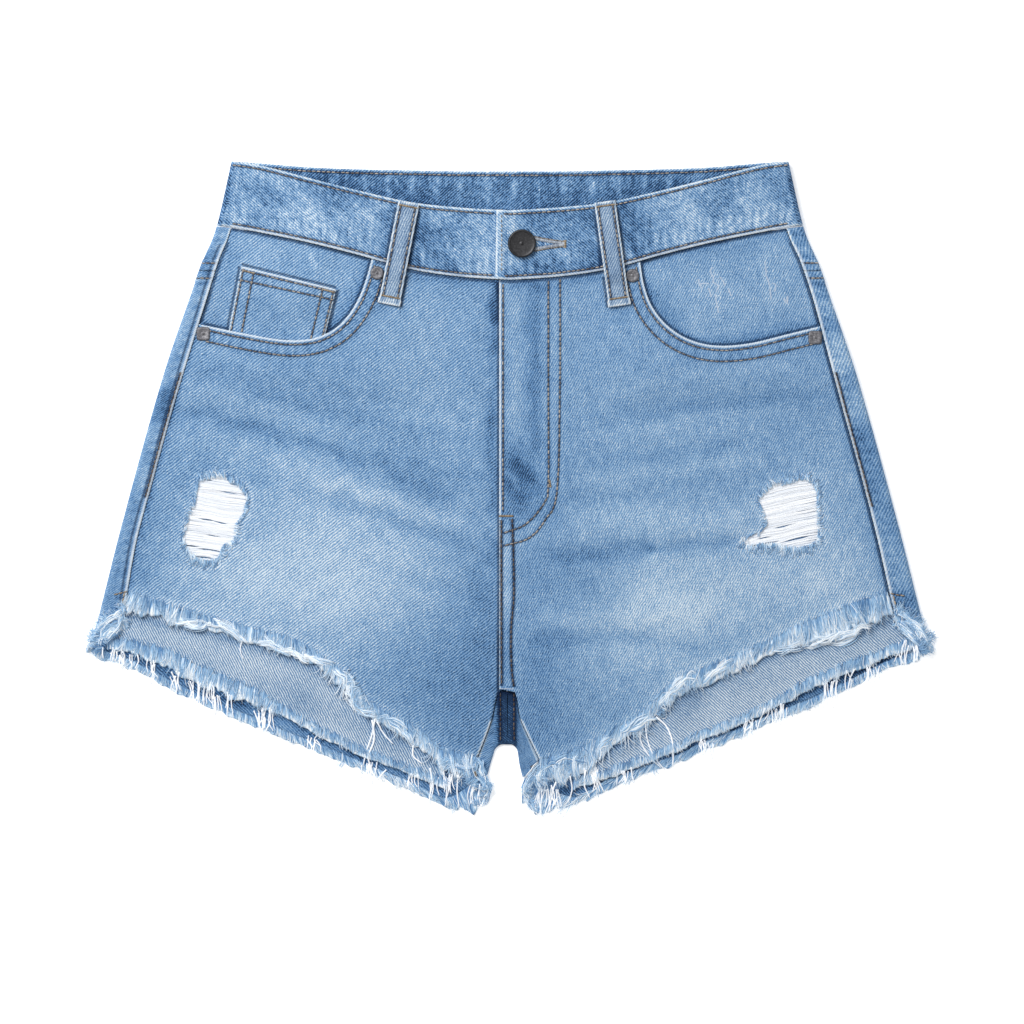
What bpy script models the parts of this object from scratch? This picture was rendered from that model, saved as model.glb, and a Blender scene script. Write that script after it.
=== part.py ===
"""Denim shorts laid flat on their back, front side up, for Blender 4.5.

Run it with: blender --background --python part.py

Frame: metres, +Z up. The waist points to +Y and the floor is z = 0. The origin is on the floor,
under the middle of the shorts. Every size below is in millimetres. "Left" is -X and "right" is +X.

Each cloth piece is one layer of cloth: a grid whose four edges follow named lines, placed on the
layer's middle surface, and given its wall by Solidify. A point of the cloth has two coordinates:
across, measured over the cloth from the centre line outwards, and height, along Y. Where a back
piece reaches the side of the shorts it turns over the fold and comes back on top.
"""

import functools
import math
from collections import namedtuple

import bmesh
import bpy
from mathutils import Matrix, Vector

MM = 0.001
LEFT, RIGHT = -1, 1
SIDES = ((LEFT, "left"), (RIGHT, "right"))

# Walls and gaps
CLOTH = 1.2
BAND_WALL = 2.4
LOOP_WALL = 1.4
SEAM_GAP = 0.4
LAYER_GAP = 0.3
LAYER_STEP = CLOTH + LAYER_GAP

# Radii of the folds, at the middle of the cloth
SIDE_FOLD = 2.5
GUSSET_FOLD = 1.5
BAND_FOLD = 2.6

# Heights of the middle of each layer above the floor
THIGH_HEIGHT = 4.0
THIGH_SEAM_HEIGHT = 5.3
HIP_CENTRE_HEIGHT = 4.6
HIP_SIDE_HEIGHT = 6.95
WAIST_BELOW_BAND = 0.9
WAIST_RISE = 34
LAP_RISE = 1.6
STRIP_HEIGHT = 5.6
GUSSET_HEIGHT = 2.5
BAND_BACK_HEIGHT = LAYER_STEP + BAND_WALL / 2
BAND_UNDERLAP_HEIGHT = BAND_BACK_HEIGHT + BAND_WALL + LAYER_GAP
BAND_OVERLAP_HEIGHT = BAND_UNDERLAP_HEIGHT + BAND_WALL + LAYER_GAP
BAND_FOLD_HEIGHT = BAND_BACK_HEIGHT + 2 * BAND_FOLD

# How far in from the side seam the front comes down to the thigh's level
THIGH_EASE = 60
# Distances from the centre line between which the front rises over the back pockets
HIP_RISE = (35, 80)
# Distances from the centre line, and heights above the crotch, over which the lapped panel settles
LAP_ACROSS, LAP_ALONG = (14, 70), (-150, -116)
# Distances from the centre line over which each end of the waistband comes to the fold's level
UNDERLAP_EASE, OVERLAP_EASE = (40, 110), (100, 160)

# Where the seat rises off the floor over the back pockets and the back belt loops
HIP_FROM, HIP_TO = 40, 76
POCKET_MARGIN, POCKET_FALL = 16, 40

# The centre-back seam, the crotch fold and the ends of the waistband
CENTRE_BACK = -1.8
BAND_UNDERLAP_END = 22
BAND_OVERLAP_END = -8

# The silhouette and the side seams. height: along Y. half_width: centre line to side fold.
# seam_left, seam_right: how far in from the fold each side seam lies on the front.
Side = namedtuple("Side", "height half_width seam_left seam_right")
SIDE = (
    Side(198, 167.0, 9, 10),
    Side(157, 176.4, 9.4, 10.8),
    Side(137, 184.5, 9.9, 10.6),
    Side(113, 193.0, 10.8, 11),
    Side(77, 205.5, 12, 13.8),
    Side(41, 216.3, 12, 14.8),
    Side(5, 226.2, 12, 14.8),
    Side(-31, 235.8, 11.8, 15.2),
    Side(-67, 244.8, 14.4, 16),
    Side(-85, 249.5, 15, 15.8),
    Side(-97, 254.5, 16, 16),
    Side(-112, 257.0, 16, 16),
)

# The edges of the waistband, the front dipping below the back. across: distance from the centre.
Band = namedtuple("Band", "across front_top front_bottom back_top back_bottom")
BAND = (
    Band(0, 167.1, 125.4, 190.8, 150.6),
    Band(30, 168.9, 127.5, 190.8, 150.9),
    Band(60, 172.2, 132.0, 191.4, 151.5),
    Band(90, 178.8, 140.2, 192.0, 152.4),
    Band(120, 186.3, 147.7, 193.2, 153.6),
    Band(150, 194.1, 153.9, 195.6, 155.4),
    Band(172, 197.2, 157.9, 197.2, 157.9),
)

# The scooped edge of each front pocket, from the waistband to the side seam
Scoop = namedtuple("Scoop", "left_across left_height right_across right_height")
SCOOP = (
    Scoop(83, 138.0, 78, 136.5),
    Scoop(86.5, 125.5, 80.5, 122),
    Scoop(91, 114, 85.5, 109),
    Scoop(98, 103, 95, 97.5),
    Scoop(107, 95, 108, 89.5),
    Scoop(119, 90.2, 124, 86),
    Scoop(136, 89.5, 144, 87.4),
    Scoop(160, 93.4, 168, 93.2),
    Scoop(186, 98.8, 186, 97.6),
)

# The inner edge of each front panel, down the centre front to the crotch. A negative across lies
# past the centre line, where the panels lap.
FrontInner = namedtuple("FrontInner", "left_across left_height right_across right_height")
FRONT_INNER = (
    FrontInner(-8, 125, -6.5, 125),
    FrontInner(-8, -16, -6.5, -16),
    FrontInner(-4, -30, -6.5, -30),
    FrontInner(-2, -116, -6.5, -120),
)

# The back panels at the crotch and the inner legs, from the centre outwards. fold: the lower edge
# of the silhouette, where the cloth turns up. edge: where it ends on top, at the front panels.
Gusset = namedtuple("Gusset", "fold_across fold_height edge_across edge_height")
GUSSET_LEFT = (
    Gusset(1.95, -153.6, 1.95, -121.4),
    Gusset(5.6, -153.8, 6.6, -122.2),
    Gusset(8.2, -155.8, 8.4, -127.5),
    Gusset(9.6, -159.5, 10.6, -138),
    Gusset(11.2, -164, 14.6, -149.5),
    Gusset(13.2, -171, 19.2, -161),
)
GUSSET_RIGHT = (
    Gusset(-1.65, -153.6, -1.65, -121.4),
    Gusset(1.4, -153.8, 2.6, -122),
    Gusset(3.4, -155.8, 4.2, -127.5),
    Gusset(4.4, -159.5, 6, -138),
    Gusset(5.4, -165, 11.6, -150.5),
    Gusset(7.4, -173, 17.4, -162.6),
)

# The hems, a row for each place along them. cloth: where the sound cloth of that layer ends.
# tip: how far its fringe reaches. front: the front panels. facing: the inner ply of the back hem.
Hem = namedtuple("Hem", "across front_cloth front_tip facing_cloth facing_tip back_tip")
HEM_LEFT = (
    Hem(20, -162.5, -180.5, -180.6, -184.8, -197.2),
    Hem(38, -156.6, -170.4, -176.4, -181.2, -191.5),
    Hem(59, -142.2, -152.4, -168.6, -172.8, -182.2),
    Hem(82, -130.0, -140.4, -159.6, -163.8, -173.2),
    Hem(100, -110.4, -122.4, -151.8, -155.9, -165.4),
    Hem(117, -98.4, -107.4, -142.8, -148.2, -158.3),
    Hem(135, -89.4, -100.2, -132.6, -138.6, -151.6),
    Hem(157, -84.0, -92.6, -119.4, -130.8, -142.0),
    Hem(180, -78.0, -87.4, -109.8, -123.0, -132.6),
    Hem(205, -70.2, -81.6, -98.4, -111.0, -120.6),
    Hem(229, -62.4, -75.6, -92.4, -99.6, -108.4),
)
HEM_RIGHT = (
    Hem(15, -163.6, -182.0, -180.6, -184.8, -197.2),
    Hem(38, -157.8, -175.2, -177.0, -181.4, -191.0),
    Hem(59, -146.4, -158.4, -169.8, -174.0, -181.0),
    Hem(82, -132.0, -142.8, -161.4, -166.2, -172.4),
    Hem(100, -114.6, -128.0, -154.2, -158.4, -166.0),
    Hem(117, -108.0, -119.4, -146.4, -150.8, -158.0),
    Hem(135, -100.8, -110.4, -139.2, -143.6, -151.0),
    Hem(157, -90.6, -100.8, -129.0, -133.6, -141.4),
    Hem(180, -79.2, -94.8, -115.2, -121.8, -132.2),
    Hem(205, -69.6, -88.6, -105.0, -111.6, -120.4),
    Hem(229, -61.8, -79.2, -96.0, -100.8, -108.6),
)
BACK_FRINGE = 6
FRINGE_BULGE = 5
FRINGE_GAP, FRINGE_FOLD_GAP = 0.6, 1.3
FACING_ABOVE_HEM = 12
FACING_INNER = 23
HEM_PLY_STEP = LAYER_STEP + 0.2
# The hem of the back panel on its way over the side fold and up to the side seam
STRIP_HEM_FOLD, STRIP_HEM_SEAM = -93, -73.8
STRIP_TIP_FOLD, STRIP_TIP_SEAM = -98.5, -83
STRIP_TIP_UNDER = (248, -103)

# Yoke seam, from the centre back to the side seam
YOKE_CENTRE, YOKE_SIDE = 113, 131

# Pocket facings
FACING_UNDER_FRONT = 8
FACING_TOP_DROP, FACING_EDGE_DROP = 0.4, LAYER_STEP
FACING_RISE_LENGTH = 34
COIN_STEP = LAYER_STEP + 0.25
COIN_DROP = 1.85
COIN_CLEAR, COIN_FALL = 2, 18

# Coin pocket corners on the left facing: across and height
COIN_TOP_OUTER, COIN_TOP_INNER = (161, 133.6), (104.2, 119.7)
COIN_BOTTOM_OUTER, COIN_BOTTOM_INNER = (169.4, 92), (112.2, 87.4)

# Belt loops
LOOP_WIDTH = 12.7
LOOP_EASE = 0.8
LOOPS_FRONT = {LEFT: ((60.6, 171.9), (72.6, 110.6)), RIGHT: ((56.8, 172.3), (65.7, 109.8))}
LOOP_LENGTH_BACK = 62
LOOPS_BACK = (("left", -98), ("centre", CENTRE_BACK), ("right", 98))

# Back patch pockets
POCKET_CENTRE, POCKET_TOP = 100.5, 104
POCKET_TOP_WIDTH, POCKET_BOTTOM_WIDTH = 126, 110
POCKET_SIDE_HEIGHT, POCKET_POINT_HEIGHT = 128, 140
POCKET_TILT = 6

# Metal
BUTTON_AT, BUTTON_RADIUS, BUTTON_HEIGHT = (7.1, 147.1), 8.2, 3.2
RIVET_RADIUS, RIVET_HEIGHT = 3.6, 1.1
RIVETS = (
    ("left_upper", LEFT, 79.7, 129.6),
    ("left_lower", LEFT, 184.0, 93.1),
    ("right_upper", RIGHT, 73.5, 128.0),
    ("right_lower", RIGHT, 183.0, 90.8),
)

# Colour, roughness and metallic of each material
DENIM = ("denim", (0.30, 0.44, 0.61), 0.85, 0.0)
DENIM_INSIDE = ("denim_inside", (0.33, 0.44, 0.60), 0.9, 0.0)
FRAYED = ("frayed_denim", (0.50, 0.62, 0.78), 0.95, 0.0)
BUTTON_METAL = ("button_metal", (0.07, 0.07, 0.075), 0.4, 0.9)
RIVET_METAL = ("rivet_metal", (0.18, 0.17, 0.17), 0.4, 0.9)


def smooth(value, start, end):
    """0 before start, 1 after end, with a soft turn at both."""
    share = min(max((value - start) / (end - start), 0), 1)
    return share * share * (3 - 2 * share)


def mix(a, b, share):
    return a + (b - a) * share


def spline(points, steps=8):
    """Points on a smooth line through the given ones."""
    ends = [points[0] * 2 - points[1], *points, points[-1] * 2 - points[-2]]
    found = []
    for a, b, c, d in zip(ends, ends[1:], ends[2:], ends[3:]):
        for step in range(steps):
            t = step / steps
            found.append(
                0.5 * (b * 2 + (c - a) * t + (a * 2 - b * 5 + c * 4 - d) * t**2
                       + (b * 3 - a - c * 3 + d) * t**3)
            )
    return [*found, points[-1]]


class Line:
    """A line on the cloth made of runs, each smooth, with corners between them. It is read by a
    share from 0 to 1, and corners gives the share at which each run but the last ends."""

    def __init__(self, *runs, corners=()):
        self.runs = [spline([Vector(p) for p in run]) for run in runs]
        self.ends = [*corners, 1]

    def at(self, share):
        index = next(i for i, end in enumerate(self.ends) if share <= end + 1e-9)
        start = self.ends[index - 1] if index else 0
        run = self.runs[index]
        steps = [(q - p).length for p, q in zip(run, run[1:])]
        left = (share - start) / (self.ends[index] - start) * sum(steps)
        for p, q, step in zip(run, run[1:], steps):
            if left <= step:
                return p.lerp(q, max(left, 0) / max(step, 1e-9))
            left -= step
        return run[-1]


@functools.cache
def column_curve(rows, column, key):
    """A smooth curve through one column of a table, in the order of its key column."""
    points = [Vector((getattr(row, key), getattr(row, column))) for row in rows]
    points.sort(key=lambda p: p.x)
    return spline(points)


def read(rows, column, key, value):
    """The value of a column at key; past the ends of the table it stays at the last row's."""
    curve = column_curve(rows, column, key)
    if value <= curve[0].x:
        return curve[0].y
    for a, b in zip(curve, curve[1:]):
        if value <= b.x:
            return mix(a.y, b.y, (value - a.x) / max(b.x - a.x, 1e-9))
    return curve[-1].y


def half_width(height):
    return read(SIDE, "half_width", "height", height)


def seam_across(side, height):
    """Where the side seam lies on the front, from the centre line."""
    column = "seam_left" if side == LEFT else "seam_right"
    return half_width(height) - read(SIDE, column, "height", height)


def band_edges(across, front):
    """The heights of the waistband's top and bottom edges."""
    top, bottom = ("front_top", "front_bottom") if front else ("back_top", "back_bottom")
    return read(BAND, top, "across", across), read(BAND, bottom, "across", across)


def hem_rows(side):
    return HEM_LEFT if side == LEFT else HEM_RIGHT


def gusset_rows(side):
    return GUSSET_LEFT if side == LEFT else GUSSET_RIGHT


def side_points(rows, side):
    """The points of one side of a table that has columns for both."""
    start = 0 if side == LEFT else 2
    return [Vector(row[start : start + 2]) for row in rows]


def beside(points, distance):
    """Points moved sideways from the line through them, to its left going along it."""
    moved = []
    for before, point, after in zip([points[0], *points], points, [*points[1:], points[-1]]):
        along = after - before
        moved.append(point + Vector((-along.y, along.x)).normalized() * distance)
    return moved


# ---- heights of the layers ----


def hip_lift(height):
    return smooth(height, HIP_FROM, HIP_TO)


def seat_lift(across, height):
    """1 where the seat lies on a back pocket or a belt loop, 0 where it lies on the floor."""
    past_side = max(abs(across - POCKET_CENTRE) - POCKET_TOP_WIDTH / 2, 0)
    below = max(POCKET_TOP - POCKET_POINT_HEIGHT - height, 0)
    pocket = 1 - smooth(math.hypot(past_side, below), POCKET_MARGIN, POCKET_FALL)
    return max(hip_lift(height), pocket)


def back_height(across, height):
    return CLOTH / 2 + LAYER_STEP * seat_lift(across, height)


def strip_height(height):
    return STRIP_HEIGHT + LAYER_STEP * hip_lift(height)


def front_height(side, across, height):
    """The middle of the front panel: close to the back at the thigh, higher over the pockets, and
    up to the waistband at the top."""
    inset = seam_across(side, height) - across
    thigh = mix(THIGH_SEAM_HEIGHT, THIGH_HEIGHT, smooth(inset, 0, THIGH_EASE))
    hip = mix(HIP_CENTRE_HEIGHT, HIP_SIDE_HEIGHT, smooth(across, *HIP_RISE))
    lap = 0
    if side == RIGHT:
        lap = LAP_RISE * (1 - smooth(across, *LAP_ACROSS)) * smooth(height, *LAP_ALONG)
    level = mix(thigh, hip, hip_lift(height)) + lap
    waist = band_edges(abs(across), True)[1]
    at_band = band_height(side, across) - WAIST_BELOW_BAND
    return mix(level, at_band, smooth(height, waist - WAIST_RISE, waist))


def band_height(side, across):
    """The middle of the waistband's front, the left end under the right one."""
    if side == LEFT:
        return mix(BAND_UNDERLAP_HEIGHT, BAND_FOLD_HEIGHT, smooth(across, *UNDERLAP_EASE))
    return mix(BAND_OVERLAP_HEIGHT, BAND_FOLD_HEIGHT, smooth(across, *OVERLAP_EASE))


@functools.cache
def scoop_line(side):
    return spline(side_points(SCOOP, side))


def inside_mouth(side, across, height):
    """How far a point lies inside the pocket mouth from its edge, negative under the front."""
    here = Vector((across, height))
    steps = zip(scoop_line(side), scoop_line(side)[1:])
    start, end = min(steps, key=lambda step: (here - step[0]).length)
    return (end - start).normalized().cross(here - start)


def pocket_facing_height(side, across, height):
    """The facing meets the waistband and side seam near the front's level, and dips under the
    mouth's edge, on the left also under the coin pocket."""
    near_edge = 1 - smooth(inside_mouth(side, across, height), 0, FACING_RISE_LENGTH)
    drop = mix(FACING_TOP_DROP, FACING_EDGE_DROP, near_edge)
    if side == LEFT:
        past_coin = max(across - COIN_BOTTOM_OUTER[0], COIN_BOTTOM_INNER[0] - across)
        drop += COIN_DROP * near_edge * (1 - smooth(past_coin, COIN_CLEAR, COIN_FALL))
    return front_height(side, across, height) - drop


# ---- placing points of the cloth ----


def to_world(side, across, height, level):
    return Vector((side * across, height, level)) * MM


def place_front(side, across, height):
    return to_world(side, across, height, front_height(side, across, height))


def place_pocket_facing(side, across, height):
    return to_world(side, across, height, pocket_facing_height(side, across, height))


def place_coin(side, across, height):
    level = pocket_facing_height(side, across, height) + COIN_STEP
    return to_world(side, across, height, level)


def place_hem_facing(side, across, height):
    return to_world(side, across, height, back_height(across, height) + HEM_PLY_STEP)


def fold_start(height, wall=CLOTH, fold=SIDE_FOLD):
    return half_width(height) - wall / 2 - fold


def seam_over_fold(side, height):
    """The side seam's distance from the centre, measured over the cloth of the back piece."""
    start = fold_start(height)
    return start + math.pi * SIDE_FOLD + start - seam_across(side, height) - SEAM_GAP / 2


def fold_middle(height):
    return fold_start(height) + math.pi * SIDE_FOLD / 2


def place_back(side, across, height):
    """A point of a back piece, on the floor side, in the fold, or back on top."""
    start = fold_start(height)
    low = back_height(min(across, start), height)
    if across <= start:
        return to_world(side, across, height, low)
    high = strip_height(height)
    turn = (across - start) / SIDE_FOLD
    if turn >= math.pi:
        return to_world(side, start - (turn - math.pi) * SIDE_FOLD, height, high)
    out = start + SIDE_FOLD * math.sin(turn)
    return to_world(side, out, height, mix(low, high, (1 - math.cos(turn)) / 2))


# Grid columns and rows, and the shares of its lines at which a corner falls
FRONT_COLUMNS, FRONT_ROWS = 15, 14
WAIST_SHARE = 5 / FRONT_COLUMNS
CENTRE_SHARES = (10 / FRONT_ROWS, 11 / FRONT_ROWS)
FLAT_COLUMNS, FOLD_COLUMNS = 12, 7
FLAT_SHARE = FLAT_COLUMNS / (FLAT_COLUMNS + FOLD_COLUMNS)
GUSSET_ROWS = 6
BACK_ROWS = 16
YOKE_ROWS = 3
SEAM_STEPS = 20
BAND_BACK_COLUMNS, BAND_FOLD_COLUMNS, BAND_FRONT_COLUMNS, BAND_ROWS = 7, 6, 12, 2
FACING_COLUMNS, FACING_ROWS = 12, 6
COIN_COLUMNS, COIN_ROWS = 5, 5
HEM_COLUMNS, HEM_FACING_ROWS = 12, 3
LOOP_ROWS = 10

# Shares of the way from the flat cloth to the fold, and from the fold to the side seam, at which
# the lines of the back pieces bend
BEND_SHARE, ON_TOP_SHARE = 0.75, 0.27
YOKE_BEND_ACROSS, YOKE_BEND_SHARE = 110, 0.55


# ---- making pieces ----


def clear_scene():
    for obj in list(bpy.data.objects):
        bpy.data.objects.remove(obj, do_unlink=True)


def material(look):
    name, colour, roughness, metallic = look
    found = bpy.data.materials.get(name)
    if found:
        return found
    made = bpy.data.materials.new(name)
    made.use_nodes = True
    shader = made.node_tree.nodes["Principled BSDF"]
    shader.inputs["Base Color"].default_value = (*colour, 1)
    shader.inputs["Roughness"].default_value = roughness
    shader.inputs["Metallic"].default_value = metallic
    made.diffuse_color = (*colour, 1)
    return made


def add_object(name, data, look):
    obj = bpy.data.objects.new(name, data)
    obj.data.materials.append(material(look))
    SHORTS.objects.link(obj)
    return obj


def add_wall(obj, wall):
    solidify = obj.modifiers.new("Wall", "SOLIDIFY")
    solidify.thickness = wall * MM
    solidify.offset = 0
    solidify.use_even_offset = True


def grid(columns, rows, place):
    """A bmesh grid whose points are placed by their shares along the columns and rows."""
    bm = bmesh.new()
    bmesh.ops.create_grid(bm, x_segments=columns, y_segments=rows, size=1)
    for vert in bm.verts:
        vert.co = place((vert.co.x + 1) / 2, (vert.co.y + 1) / 2)
    return bm


def add_sheet(name, bm, wall, look):
    mesh = bpy.data.meshes.new(name)
    bm.to_mesh(mesh)
    bm.free()
    mesh.shade_smooth()
    obj = add_object(name, mesh, look)
    add_wall(obj, wall)
    return obj


def between(top, bottom, inner, outer):
    """Shares (u, v) to a point of the cloth between four lines that meet at their ends.
    u runs from inner to outer and v from top to bottom."""

    def point(u, v):
        across = top.at(u).lerp(bottom.at(u), v)
        down = inner.at(v).lerp(outer.at(v), u)
        ends = top.at(0).lerp(top.at(1), u).lerp(bottom.at(0).lerp(bottom.at(1), u), v)
        return across + down - ends

    return point


def sheet_between(side, lines, columns, rows, place):
    point = between(*lines)
    return grid(columns, rows, lambda u, v: place(side, *point(u, v)))


def add_turned(name, profile, centre, steps, look):
    """A piece turned round a vertical line through centre. profile: (radius, height) from the
    middle of its top, down its outside, to the middle of its underside."""
    mesh = bpy.data.meshes.new(name)
    points = [(r * MM, 0, z * MM) for r, z in profile]
    mesh.from_pydata(points, [(i, i + 1) for i in range(len(points) - 1)], [])
    obj = add_object(name, mesh, look)
    obj.location = Vector(centre) * MM
    screw = obj.modifiers.new("Turn", "SCREW")
    screw.steps = screw.render_steps = steps
    screw.use_merge_vertices = True
    screw.merge_threshold = 0.00001
    screw.use_smooth_shade = True
    return obj


# ---- the pieces ----


def band_columns(side):
    """Columns of the waistband from the centre back to its end on this side, as (layer, place):
    a share of the flat width on the back and the front, and an angle in the fold."""
    back = [("back", i / BAND_BACK_COLUMNS) for i in range(BAND_BACK_COLUMNS + 1)]
    fold = [("fold", math.pi * i / BAND_FOLD_COLUMNS) for i in range(1, BAND_FOLD_COLUMNS)]
    end = BAND_UNDERLAP_END if side == LEFT else -BAND_OVERLAP_END
    last = -end / fold_start(BAND[0].front_top, BAND_WALL, BAND_FOLD)
    shares = [i / BAND_FRONT_COLUMNS for i in range(BAND_FRONT_COLUMNS + 1)]
    return back + fold + [("front", mix(1, last, share)) for share in shares]


def place_band(side, layer, where, share):
    """A point of the waistband; share runs from its top edge to its bottom edge."""
    on_front = {"back": 0, "front": 1, "fold": where / math.pi}[layer]
    share_out = 1 if layer == "fold" else abs(where)
    start = BAND[-1].across
    for _ in range(3):
        front = mix(*band_edges(share_out * start, True), share)
        back = mix(*band_edges(share_out * start, False), share)
        height = mix(back, front, on_front)
        start = fold_start(height, BAND_WALL, BAND_FOLD)
    if layer == "fold":
        level = mix(BAND_BACK_HEIGHT, BAND_FOLD_HEIGHT, (1 - math.cos(where)) / 2)
        return to_world(side, start + BAND_FOLD * math.sin(where), height, level)
    level = BAND_BACK_HEIGHT if layer == "back" else band_height(side, where * start)
    return to_world(side, where * start, height, level)


def make_waistband():
    columns = [(LEFT, *c) for c in reversed(band_columns(LEFT))]
    columns += [(RIGHT, *c) for c in band_columns(RIGHT)[1:]]
    last = len(columns) - 1
    bm = grid(last, BAND_ROWS, lambda u, v: place_band(*columns[round(u * last)], v))
    add_sheet("waistband", bm, BAND_WALL, DENIM)


def waist_run(start, end, count):
    """Points along the front waist seam, just below the waistband."""
    places = [mix(start, end, i / (count - 1)) for i in range(count)]
    return [Vector((a, band_edges(abs(a), True)[1] - SEAM_GAP)) for a in places]


def seam_run(side, top, bottom):
    """Points down the side seam on the front side of it."""
    heights = [mix(top, bottom, i / SEAM_STEPS) for i in range(SEAM_STEPS + 1)]
    return [Vector((seam_across(side, h) - SEAM_GAP / 2, h)) for h in heights]


def inseam_run(side):
    """The inseam edge of the front panel, beside that of the back panel's gusset."""
    edge = [Vector((row.edge_across, row.edge_height)) for row in gusset_rows(side)[1:]]
    return beside(edge, SEAM_GAP)


def hem_run(side):
    """The edge of the front panel's sound cloth, from the inseam to the side seam."""
    rows = hem_rows(side)[1:-1]
    end = hem_rows(side)[-1].front_cloth
    middle = [Vector((row.across, row.front_cloth)) for row in rows]
    return [inseam_run(side)[-1], *middle, Vector((seam_across(side, end) - SEAM_GAP / 2, end))]


def front_lines(side):
    """The edges of a front panel: waist and pocket mouth, hem, centre and inseam, side seam."""
    scoop = side_points(SCOOP, side)
    inner = side_points(FRONT_INNER, side)
    inseam = inseam_run(side)
    hem = hem_run(side)
    waist = waist_run(inner[0].x, scoop[0].x, 6)
    mouth_end = Vector((seam_across(side, scoop[-1].y) - SEAM_GAP / 2, scoop[-1].y))
    top = Line(waist, [waist[-1], *scoop[1:-1], mouth_end], corners=[WAIST_SHARE])
    centre = Line([waist[0], *inner[1:]], [inner[-1], inseam[0]], inseam, corners=CENTRE_SHARES)
    return top, Line(hem), centre, Line(seam_run(side, mouth_end.y, hem[-1].y))


def make_front_panel(side, word):
    bm = sheet_between(side, front_lines(side), FRONT_COLUMNS, FRONT_ROWS, place_front)
    add_sheet(f"front_panel_{word}", bm, CLOTH, DENIM)


def make_pocket_facing(side, word):
    """It fills the pocket mouth and reaches a little way under the front panel."""
    scoop = side_points(SCOOP, side)
    under = beside(scoop, -FACING_UNDER_FRONT)
    outer = seam_run(side, SIDE[1].height - SEAM_GAP, under[-1].y)
    top = waist_run(scoop[0].x - FACING_UNDER_FRONT, outer[0].x, 7)
    outer[0] = top[-1]
    bottom = [Vector((top[0].x, scoop[0].y - FACING_UNDER_FRONT)), *under[1:-1], outer[-1]]
    lines = Line(top), Line(bottom), Line([top[0], bottom[0]]), Line(outer)
    bm = sheet_between(side, lines, FACING_COLUMNS, FACING_ROWS, place_pocket_facing)
    add_sheet(f"pocket_facing_{word}", bm, CLOTH, DENIM)


def make_coin_pocket():
    top = Line([COIN_TOP_INNER, COIN_TOP_OUTER])
    bottom = Line([COIN_BOTTOM_INNER, COIN_BOTTOM_OUTER])
    inner = Line([COIN_TOP_INNER, COIN_BOTTOM_INNER])
    outer = Line([COIN_TOP_OUTER, COIN_BOTTOM_OUTER])
    bm = sheet_between(LEFT, (top, bottom, inner, outer), COIN_COLUMNS, COIN_ROWS, place_coin)
    add_sheet("coin_pocket", bm, CLOTH, DENIM)


class BackLine:
    """A line across a back piece: its flat run up to the fold, then its run over the fold."""

    def __init__(self, flat, fold_height, seam_height, side):
        start = fold_start(fold_height)
        turned = start + math.pi * SIDE_FOLD
        bend = Vector((start, mix(flat[-1][1], fold_height, BEND_SHARE)))
        middle = Vector((fold_middle(fold_height), fold_height))
        on_top = Vector((turned, mix(fold_height, seam_height, ON_TOP_SHARE)))
        end = Vector((seam_over_fold(side, seam_height), seam_height))
        self.flat = Line([*flat, bend])
        self.turn = Line([bend, middle, on_top, end])

    def at(self, share):
        if share <= FLAT_SHARE + 1e-9:
            return self.flat.at(share / FLAT_SHARE)
        return self.turn.at((share - FLAT_SHARE) / (1 - FLAT_SHARE))


def seam_line(side, top, bottom):
    """The side seam's edge of a back piece, measured over the fold."""
    heights = [mix(top, bottom, i / SEAM_STEPS) for i in range(SEAM_STEPS + 1)]
    return Line([(seam_over_fold(side, h), h) for h in heights])


def centre_back(side):
    """How far the centre-back seam lies out from the centre line, to this side's cloth."""
    return side * CENTRE_BACK + SEAM_GAP / 2


def yoke_seam(side, gap):
    middle = (centre_back(side), YOKE_CENTRE + gap)
    bend = YOKE_BEND_ACROSS, mix(YOKE_CENTRE, YOKE_SIDE, YOKE_BEND_SHARE) + gap
    return [middle, bend]


def make_yoke(side, word):
    top_flat = [(a, band_edges(a, False)[1] - SEAM_GAP) for a in (centre_back(side), 60, 120)]
    fold_top = band_edges(BAND[-1].across, False)[1] - SEAM_GAP
    seam_top = band_edges(seam_across(side, fold_top), True)[1] - SEAM_GAP
    top = BackLine(top_flat, fold_top, seam_top, side)
    bottom = BackLine(yoke_seam(side, SEAM_GAP / 2), YOKE_SIDE, YOKE_SIDE, side)
    lines = top, bottom, Line([top.at(0), bottom.at(0)]), seam_line(side, seam_top, YOKE_SIDE)
    bm = sheet_between(side, lines, FLAT_COLUMNS + FOLD_COLUMNS, YOKE_ROWS, place_back)
    add_sheet(f"yoke_{word}", bm, CLOTH, DENIM)


def gusset_folds(side):
    """The crotch and inner-leg silhouette, where the cloth turns up."""
    return [Vector((row.fold_across, row.fold_height)) for row in gusset_rows(side)]


def gusset_start(side):
    """Where the floor side of the back panel begins to turn up, inside the silhouette."""
    return beside(gusset_folds(side), CLOTH / 2 + GUSSET_FOLD)


def make_gusset(side):
    """The cloth of a back panel that turns over the crotch and the inner leg onto the top."""
    starts = Line(gusset_start(side))
    ways = Line([a - b for a, b in zip(gusset_start(side), gusset_folds(side))])
    edges = Line([(row.edge_across, row.edge_height) for row in gusset_rows(side)])
    turn_steps, steps = 4, 6

    def place(u, v):
        start, way, edge = starts.at(v), ways.at(v).normalized(), edges.at(v)
        low = CLOTH / 2
        step = round(u * steps)
        if step <= turn_steps:
            turn = math.pi * step / turn_steps
            at = start - way * GUSSET_FOLD * math.sin(turn)
            return to_world(side, *at, mix(low, GUSSET_HEIGHT, (1 - math.cos(turn)) / 2))
        at = start.lerp(edge, (step - turn_steps) / (steps - turn_steps))
        return to_world(side, *at, GUSSET_HEIGHT)

    return grid(steps, GUSSET_ROWS, place)


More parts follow.
